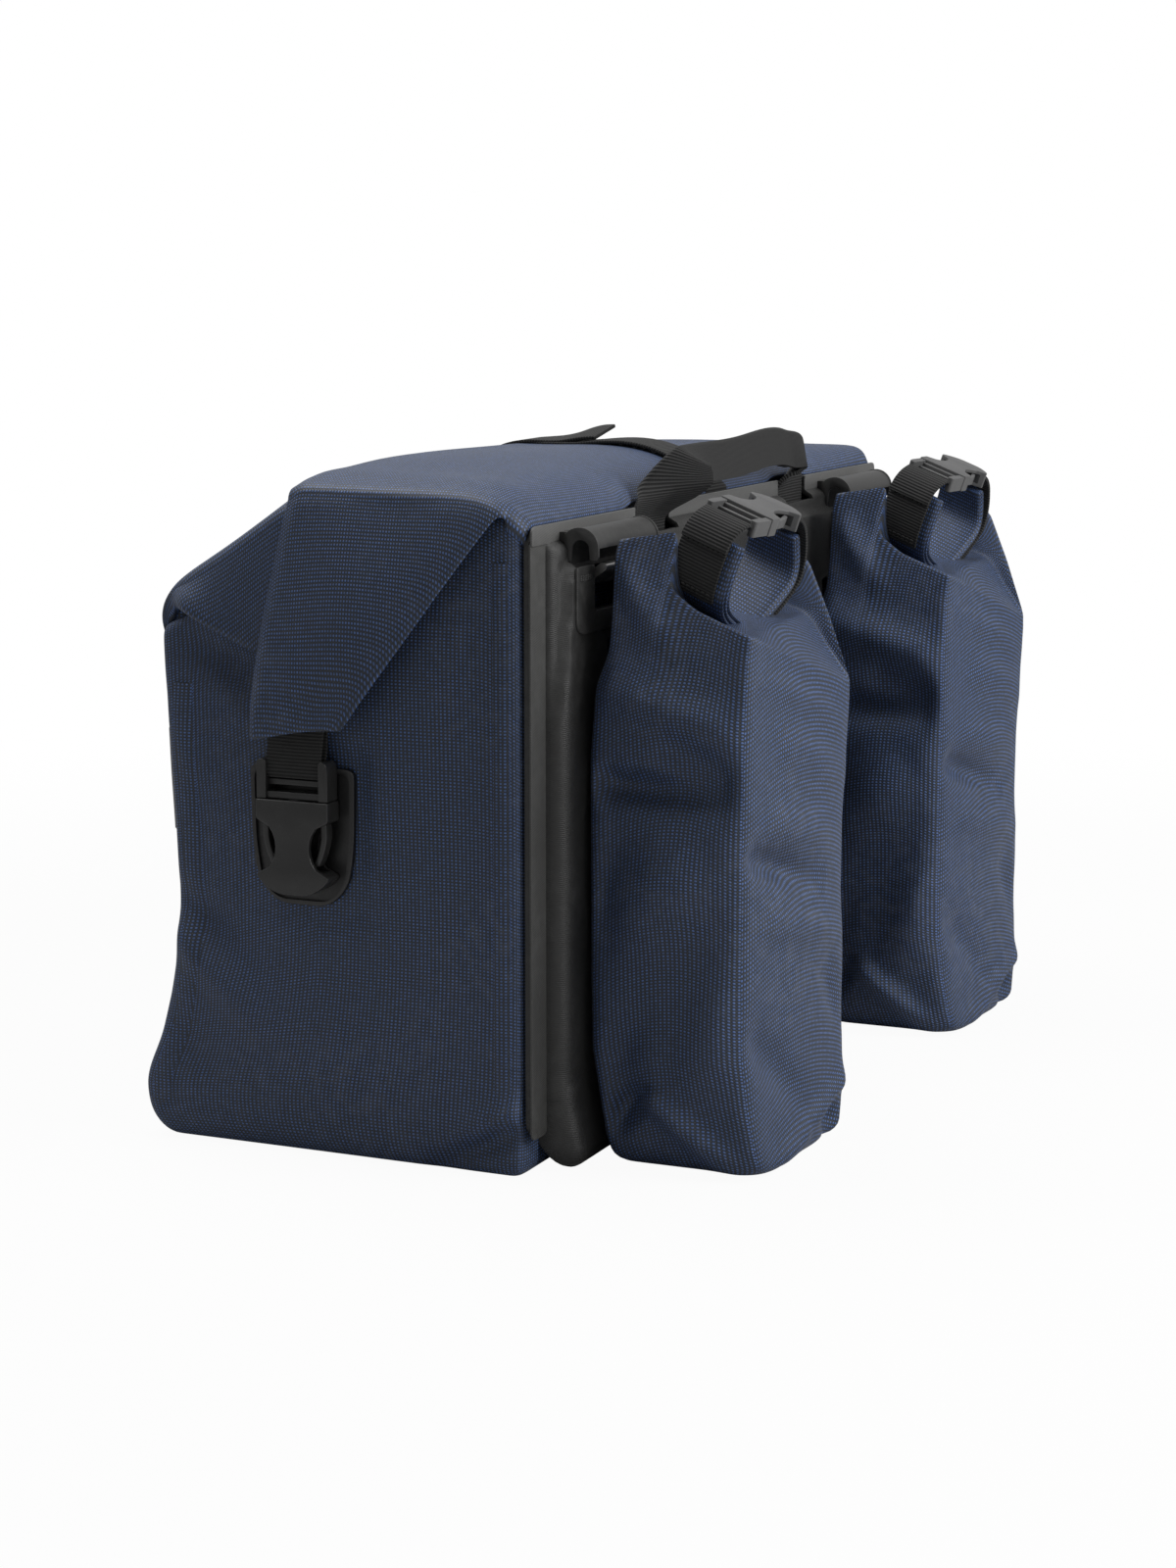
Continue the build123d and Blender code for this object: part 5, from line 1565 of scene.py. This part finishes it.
# ---- back panel
@dataclass
class BackPanel:
    """The moulded panel on the rack side, its border strips and what is let into it."""

    half: float = 0.235
    pod_half: float = 0.220
    pod_foot: float = 0.034
    foot: float = 0.019
    head: float = 0.301
    corner: float = 0.010
    hook_centre: float = 0.172
    hook_half: float = 0.0341
    hook_foot: float = 0.256
    hook_head: float = 0.2972
    leg_centre: float = 0.097
    leg_half: float = 0.021
    leg_foot: float = 0.289
    window_centre: float = 0.147
    window_half: float = 0.026
    window: tuple = (0.196, 0.245)
    flange: float = 0.0030
    wall: float = 0.0025
    column_step: float = 0.0028
    level_step: float = 0.0026
    strip_foot: float = 0.2925
    side_strip: tuple = (0.0, 0.0012, 0.0004, 2)
    head_strip: tuple = (0.0007, 0.0020, 0.0004, 2)

    def depth(self, x: Array, z: Array) -> Array:
        """How far the panel stands out from the bag's back."""
        ax = np.abs(x)
        valley = 0.0012 * np.exp(-(((ax - 0.2212) / 0.0012) ** 2)) * (z < 0.294)
        wall = np.clip((self.pod_half - ax) / 0.0105, 0, 1)
        side = np.sqrt(1 - (1 - wall) ** 2)
        head = ease(-z, -0.2955, -0.2895)
        brow = 0.2830 - 0.075 * ease(ax, 0.2095, 0.2185)
        start = brow + 0.0015 + 0.020 * ease(ax, 0.2085, 0.2185)
        lower = ease(-z, -start, -brow + 0.002)
        raised = 0.0065 * side * head + 0.0045 * side * lower
        swell = 0.0012 * np.cos(np.clip(ax / 0.2, 0, 1) * math.pi / 2)
        low_fill = 0.011 * ease(-z, -0.022, -0.017) * (1 - side)
        low_fill = low_fill * ease(-ax, -0.2205, -0.2185)
        return self.flange - valley + raised + swell * side * head + low_fill

    def lines(self, marks: Sequence[float], step: float) -> Array:
        """Grid lines that pass through every mark."""
        marks = sorted(set(round(mark, 6) for mark in marks))
        made = [marks[0]]
        for low, high in zip(marks[:-1], marks[1:]):
            count = max(1, int(round((high - low) / step)))
            made.extend(np.linspace(low, high, count + 1)[1:])
        return np.array(made)

    def grid(self) -> Array:
        """The shell's grid of points, its lines along every opening and its corners rounded."""
        xs = [0.0, self.half, 0.2232, 0.2212, self.pod_half, 0.2196, 0.2187, 0.2174, 0.2157,
              0.2135, 0.2112, 0.2088]
        for centre, reach in ((self.hook_centre, self.hook_half), (self.leg_centre, self.leg_half),
                              (self.window_centre, self.window_half)):
            xs += [centre - reach, centre + reach]
        levels = [0.0015, self.pod_foot, self.foot, 0.281, self.leg_foot, self.hook_foot,
                  self.hook_head, 0.2955, self.head, *self.window]
        x, z = np.meshgrid(self.lines(xs + [-x for x in xs], self.column_step),
                           self.lines(levels, self.level_step))
        y = BACK - self.depth(x, z)
        for side in (-1, 1):
            for upper in (True, False):
                cx = side * (self.half - self.corner)
                cz = self.head - self.corner if upper else self.foot + self.corner
                level = z > cz if upper else (z < cz) & (z >= self.foot - 1e-6)
                dx, dz = x - cx, z - cz
                square, circle = np.maximum(np.abs(dx), np.abs(dz)), np.hypot(dx, dz)
                beyond = (x * side > cx * side) & level & (circle > TINY)
                scale = square / np.maximum(circle, TINY)
                x = np.where(beyond, cx + dx * scale, x)
                z = np.where(beyond, cz + dz * scale, z)
        return xyz(x, y, z)

    def open_at(self, x: float, z: float) -> bool:
        """Whether the shell is open here: beyond its foot, or at a hook, a leg or a window."""
        if z < (self.foot if x > self.pod_half else self.pod_foot):
            return True
        if abs(x - self.hook_centre) < self.hook_half:
            if self.hook_foot < z < self.hook_head:
                return True
        if abs(x - self.leg_centre) < self.leg_half and z > self.leg_foot:
            return True
        low, high = self.window
        return abs(x - self.window_centre) < self.window_half and low < z < high

    def build_shell(self) -> None:
        """The moulded shell with its openings."""
        points = self.grid()
        rows, columns = points.shape[:2]
        deselect()
        bpy.ops.mesh.primitive_grid_add(x_subdivisions=columns - 1, y_subdivisions=rows - 1, size=1)
        shell = bpy.context.object
        shell.name = "moulded_panel"
        write_points(shell, points.reshape(-1, 3))
        activate(shell)
        enter("EDIT")
        bpy.ops.mesh.select_mode(type="FACE")
        bpy.ops.mesh.select_all(action="DESELECT")
        enter("OBJECT")
        for face in shell.data.polygons:
            face.select = self.open_at(abs(face.center.x), face.center.z)
        enter("EDIT")
        bpy.ops.mesh.delete(type="FACE")
        bpy.ops.mesh.select_all(action="SELECT")
        if shell.data.polygons[0].normal.y > 0:
            bpy.ops.mesh.flip_normals()
        enter("OBJECT")
        modify(shell, "SOLIDIFY", thickness=self.wall, offset=-1.0)
        modify(shell, "BEVEL", width=0.0006, segments=2, limit_method="ANGLE",
               angle_limit=math.radians(50))
        hand_in(shell, PANEL, "bag", "back_panel", angle=65)

    def build_strips(self) -> None:
        """The welded border strips: two up the sides and one over their ends."""
        foot, low, high = self.foot - 0.0005, self.strip_foot, self.head + 0.0004
        sides = []
        for side in (-1, 1):
            x0, x1 = sorted((side * 0.2182, side * (self.half + 0.0004)))
            outline = rounded([(x0, foot, 0.005), (x1, foot, 0.005), (x1, low + 0.0011, 0.0008),
                               (x0, low + 0.0011, 0.0008)])
            sides.append(block("strip", outline, *self.side_strip))
        x0, x1 = -self.half - 0.0004, -self.leg_centre - self.leg_half
        top = rounded([(x0, low, 0.0012), (x1, low, 0.0006), (x1, high, 0.0006), (x0, high, 0.009)])
        inner = self.leg_centre - self.leg_half
        outlines = (top, [(-x, z) for x, z in top[::-1]],
                    rectangle(-inner, low, inner, high, 0.0006))
        head = [block("strip", outline, *self.head_strip) for outline in outlines]
        place = plane_at((0, BACK - self.flange, 0), (1, 0, 0), (0, -1, 0))
        hand_in(moved(joined("border_strips", sides), place), TAPE, "bag", "border_tape")
        # The head strip takes the paler copy of the tape, as painted light from above.
        hand_in(moved(joined("border_head", head), place), LIT_HEAD_TAPE, "bag")

    def build_bumper(self) -> None:
        """The rounded foot along the panel's lower edge."""
        skin, seam, length = 0.0003, self.pod_foot, 2 * self.pod_half
        outline = [(skin, 0.050), (skin, 0.030), (0.0010, 0.0125), (0.0022, 0.0092)]
        outline += [(0.0112 + 0.0082 * math.cos(turn), 0.0090 + 0.0085 * math.sin(turn))
                    for turn in np.radians(np.linspace(190, 350, 12))]
        outline += [(0.0194, 0.0110), (0.0188, 0.0155), (0.0174, 0.0220), (0.0158, 0.0300),
                    (0.0146, 0.0400), (0.0130, 0.050)]
        profile = np.array(outline)
        ends = np.array([0.0, 0.0004, 0.0012, 0.0026, 0.0046, 0.0070, 0.0100, 0.0130])
        reach = np.concatenate([ends, np.linspace(0.02, length - 0.02, 40), length - ends[::-1]])
        rows = []
        for start in reach:
            short = min(start, length - start)
            full, low = (math.sqrt(1 - (1 - min(1.0, short / radius)) ** 2)
                         for radius in (0.0105, 0.0130))
            depth = skin + (profile[:, 0] - skin) * full
            drawn = np.where(profile[:, 1] < seam, 0.62 + 0.38 * low, 1.0)
            rows.append(xyz(start - self.pod_half, BACK - depth,
                            seam + (profile[:, 1] - seam) * drawn))
        rim = np.concatenate([profile, profile[:1]])
        bar = lofted("bumper_roll", np.array(rows), flat_grid(reach, run_length(rim)), closed=True)
        close_ends(bar)
        hand_in(bar, PANEL, "bag", angle=40)

    def arc(self, centre: tuple[float, float], radius: float, start: float, end: float,
            count: int) -> list:
        """Points along an arc, in depth and height."""
        return [(centre[0] + radius * math.cos(turn), centre[1] + radius * math.sin(turn))
                for turn in np.radians(np.linspace(start, end, count))]

    def build_inserts(self, end: End) -> None:
        """A cover plate over a hook pocket, with finger ridges, and a near-black strip in the
        channel under the hood that paints its shade.
        """
        c, name = end.side * self.hook_centre, end.value
        flat = plane_at((0, BACK, 0), (1, 0, 0), (0, -1, 0))
        half, nose, low, head = self.hook_half + 0.0029, 0.017, 0.2500, 0.2815
        outline = rounded([
            (c - half, low, 0.009), (c + half, low, 0.009), (c + half, head, 0.002),
            (c + nose, head, 0.002), (c + nose, low + 0.010, 0.003),
            (c - nose, low + 0.010, 0.003), (c - nose, head, 0.002), (c - half, head, 0.002)])
        parts = [block("plate", outline, 0.0128, 0.0153, 0.0007, 3)]
        for index in range(7):
            for start in (c + nose + 0.003, c - half + 0.0035):
                x = start + index * 0.0019
                parts.append(block("ridge", rectangle(x, 0.2745, x + 0.0010, 0.2775, 0.0004),
                                   0.0148, 0.0158, 0.0003, 1))
        hand_in(moved(joined(f"hook_cover_{name}", parts), flat), PANEL, "bag")
        place = Matrix(((0, 0, 1, 0), (-1, 0, 0, BACK), (0, 1, 0, 0), (0, 0, 0, 1)))
        bar = (0.0155, 0.290)
        # Near-black half-pipe under the hood: painted shade for the channel's hollow.
        shade_outline = self.arc(bar, 0.0059, 0, 180, 15) + [(0.0096, 0.2822), (0.0102, 0.2822)]
        shade_outline += self.arc(bar, 0.0053, 180, 0, 15)
        strip = block(f"channel_shade_{name}", shade_outline, c - 0.0338, c + 0.0338, 0)
        hand_in(moved(strip, place), CHANNEL_SHADE, "bag")
        cheek = [(0.0080, 0.2835), (0.0080, 0.2965), *self.arc(bar, 0.0095, 136, 0, 14),
                 (0.0250, 0.2862), (0.0236, 0.2846), (0.0206, 0.2846),
                 *self.arc((0.0160, 0.2896), 0.0042, 0, 180, 13), (0.0112, 0.2835)]
        ends = [block("cheek", cheek, x, x + 0.0015, 0.0005, 2) for x in (c - 0.0356, c + 0.0341)]
        hand_in(moved(joined(f"hood_ends_{name}", ends), place), HOOK, "bag")

    def build(self) -> None:
        """Builds the panel."""
        self.build_shell()
        self.build_strips()
        self.build_bumper()
        for end in End:
            self.build_inserts(end)


# ---- carry handle
@dataclass
class CarryHandle:
    """Wide webbing: a flat leg at each end, folded in half between them."""

    width: float = 0.040
    columns: int = 13
    thickness: float = 0.0021
    ridge: tuple = ((150, -15.5, 329.6), (165, -15.5, 329.8), (182, -15.5, 329.6),
                    (201, -15, 329.4), (218, -14.5, 329.4), (235, -14, 329.9),
                    (252, -13.5, 330.9), (268, -13, 331.6), (284, -12.5, 331.6),
                    (298, -12, 330.6), (310, -11, 328.4))
    near_leg: tuple = (
        *(((141, -2.0, z), (1, 0, 0), (-1, 0, 0)) for z in (268, 276, 284, 290, 295)),
        ((141, -4.4, 299), (0.96, -0.22, 0.03), (-0.98, 0.02, -0.03)),
        ((141.2, -9.5, 303), (0.82, -0.52, 0.08), (-0.88, 0.26, -0.08)),
        ((141.6, -15.5, 308.6), (0.66, -0.72, 0.12), (-0.72, 0.54, -0.14)),
    )
    far_leg: tuple = (
        ((335.5, -3.8, 306), (-0.96, -0.26, -0.08), (0.97, 0.12, -0.05)),
        ((336.0, -2.8, 300), (-0.99, -0.10, 0), (0.99, 0.03, 0)),
        ((335.5, -2.1, 295), (-1, 0, 0), (1, 0, 0)),
        ((335, -2.0, 284), (-1, 0, 0), (1, 0, 0)),
        ((335, -2.0, 268), (-1, 0, 0), (1, 0, 0)),
    )
    rise_from: tuple = ((141.6, -15.8, 308.6), (0.66, -0.72, 0.12), (0.35, 0.55, -0.30))
    rise_to: tuple = ((143.8, -15.2, 329.0), (0.62, -0.62, -0.42), (0.12, 0.22, -0.95))
    grip: tuple = ((0.02, -0.16, -0.98), (0.02, 0.16, -0.98))
    fall_to: tuple = ((337.0, -6.0, 309.0), (-0.88, -0.38, -0.20), (0.92, 0.22, -0.12))
    fall_bow: tuple = (8, -3, 5)

    def row(self, centre: Sequence[float], right: Sequence[float], left: Sequence[float],
            fold: float = -1.0) -> Array:
        """One row across the webbing.

        Args:
            centre: the point at the middle of the webbing, in mm of the bag's own corner frame.
            right: direction of the half towards the rack side.
            left: direction of the other half.
            fold: share of the left half, from its edge, that follows the left direction.

        Returns:
            The row's points, in metres.
        """
        centre, right, left = np.array(centre, float), unit(np.array(right)), unit(np.array(left))
        half = self.width / MM / 2
        hinge = -half * (1 - fold)
        made = []
        for w in np.linspace(-half, half, self.columns):
            if w >= 0 or fold < 0:
                made.append(centre + (right if w >= 0 else -left) * w)
            else:
                made.append(centre + right * max(w, hinge) + left * max(0.0, hinge - w))
        return np.array(made) * MM + (-0.238, BACK, 0.0)

    def build(self) -> None:
        """Builds the handle as one folded strip."""
        rows = [self.row(*place) for place in self.near_leg]
        steps = 6
        for index in range(1, steps + 1):
            t = index / steps
            rows.append(self.row(*(blend(a, b, t) for a, b in zip(self.rise_from, self.rise_to)),
                                 fold=t))
        right, left = self.grip
        for index, centre in enumerate(self.ridge):
            t = min(1.0, (index + 1) / 3.0)
            rows.append(self.row(centre, blend(self.rise_to[1], right, t), left, fold=1.0))
        steps = 7
        for index in range(1, steps + 1):
            t = index / steps
            centre, *sides = (blend(a, b, t)
                              for a, b in zip((self.ridge[-1], right, left), self.fall_to))
            rows.append(self.row(centre + np.array(self.fall_bow) * math.sin(math.pi * t), *sides))
        rows += [self.row(*place) for place in self.far_leg]
        points = np.array(rows)
        shares = np.linspace(0, self.width, self.columns)
        weave = flat_grid(run_length(points[:, self.columns // 2]), shares)
        strip = lofted("handle_webbing", points, weave)
        modify(strip, "SUBSURF", levels=2)
        modify(strip, "SOLIDIFY", thickness=self.thickness, offset=0.0)
        hand_in(strip, WEBBING, "handle", "carry_handle", angle=CLOTH_TURN)


# ---- studio
@dataclass
class Studio:
    """Pale floor, soft lamps and the camera."""

    camera_place: tuple = (-1.4981, -0.6375, 0.4240)
    heading: float = 23.93
    pitch: float = 9.71
    lens: float = 72.0

    def build(self) -> None:
        """Builds the camera, the world, the floor and the lamps."""
        camera = bpy.data.cameras.new("camera")
        camera.lens = self.lens
        camera.sensor_width = 36.0
        camera.clip_end = 50
        a, p = math.radians(self.heading), math.radians(self.pitch)
        look = Vector((math.cos(a) * math.cos(p), math.sin(a) * math.cos(p), -math.sin(p)))
        bpy.context.scene.camera = self.aimed("camera", camera, self.camera_place, look)
        self.build_world()
        self.build_floor()
        self.lamp("key", (0.02, -1.35, 0.95), (0.0, -0.1, 0.12), 0.8, 21.0)
        self.lamp("top", (-0.05, 0.55, 1.6), (0.0, 0.0, 0.2), 1.0, 19.0)
        bpy.context.scene.view_settings.view_transform = "Standard"

    def aimed(self, name: str, data: bpy.types.ID, place: tuple, look: Vector) -> Piece:
        """Adds a camera or a lamp at a place, looking along a direction."""
        made = linked(name, data)
        made.location = place
        made.rotation_mode = "QUATERNION"
        made.rotation_quaternion = look.to_track_quat("-Z", "Y")
        return made

    def lamp(self, name: str, place: tuple, target: tuple, size: float, power: float) -> None:
        """Adds one square area lamp that points at a target."""
        light = bpy.data.lights.new(name, "AREA")
        light.size = size
        light.energy = power
        self.aimed(name, light, place, Vector(target) - Vector(place))

    def seen(self, net: Wiring) -> tuple[Socket, bpy.types.Node]:
        """One where the camera looks at something straight or through it, and the path node."""
        path = net.node("ShaderNodeLightPath")
        rays = (path.outputs[f"Is {kind} Ray"] for kind in ("Camera", "Transmission"))
        return net.math("MAXIMUM", *rays), path

    def build_world(self) -> None:
        """A soft grey world that shows white to the camera."""
        world = bpy.data.worlds.new("studio")
        bpy.context.scene.world = world
        world.use_nodes = True
        net = Wiring(world.node_tree)
        seen, path = self.seen(net)
        glossy = net.times(path.outputs["Is Glossy Ray"], 0.5)
        strength = net.math("MAXIMUM", net.math("MAXIMUM", seen, glossy), 0.15)
        net.fill(world.node_tree.nodes["Background"], {"Color": grey(1), "Strength": strength})

    def build_floor(self) -> None:
        """A pale floor that shows white and keeps a faint shadow."""
        deselect()
        bpy.ops.mesh.primitive_plane_add(size=40, location=(0, 0, -0.0008))
        floor = bpy.context.object
        floor.name = "floor"
        material = bpy.data.materials.new("floor_paper")
        material.use_nodes = True
        net = Wiring(material.node_tree)
        nodes = material.node_tree.nodes
        net.fill(nodes["Principled BSDF"], {"Base Color": grey(0.6), "Roughness": 0.9})
        glow = net.node("ShaderNodeEmission", {"Color": grey(1)})
        away = net.node("ShaderNodeVectorMath", {0: net.space()}, operation="LENGTH")
        plain = net.ramp(away.outputs["Value"], 0.5, 1.2, 0.95, 1.0)
        shown = net.times(self.seen(net)[0], plain)
        inputs = {0: shown, 1: nodes["Principled BSDF"].outputs[0], 2: glow.outputs[0]}
        mixed = net.node("ShaderNodeMixShader", inputs)
        net.feed(nodes["Material Output"].inputs[0], mixed.outputs[0])
        floor.data.materials.append(material)


def dress_hardware() -> None:
    """Gives the CAD nodes that stay in view their finishes."""
    kept = {
        ZINC: ("hook_screws", "hanger_screws", "latch_bar", "latch_springs"),
        BOARD: ("back_board", "base_board"),
        HOOK: ("hanger_hook_near", "hanger_hook_far", "hanger_bar_near", "hanger_bar_far",
               "hook_housing_near", "hook_housing_far"),
    }
    for finish, names in kept.items():
        for name in names:
            node = frame["nodes"][name]
            node.data.materials.clear()
            node.data.materials.append(finish.material())


def main() -> None:
    """Builds the camera, then every sub-assembly in order."""
    logging.basicConfig(level=logging.INFO)
    Studio().build()
    MainBag().build()
    RollTop().build()
    for end in End:
        ClosureBuckle(end).build()
        SmallBag(end).build()
    BackPanel().build()
    CarryHandle().build()
    dress_hardware()


if __name__ == "__main__":
    main()
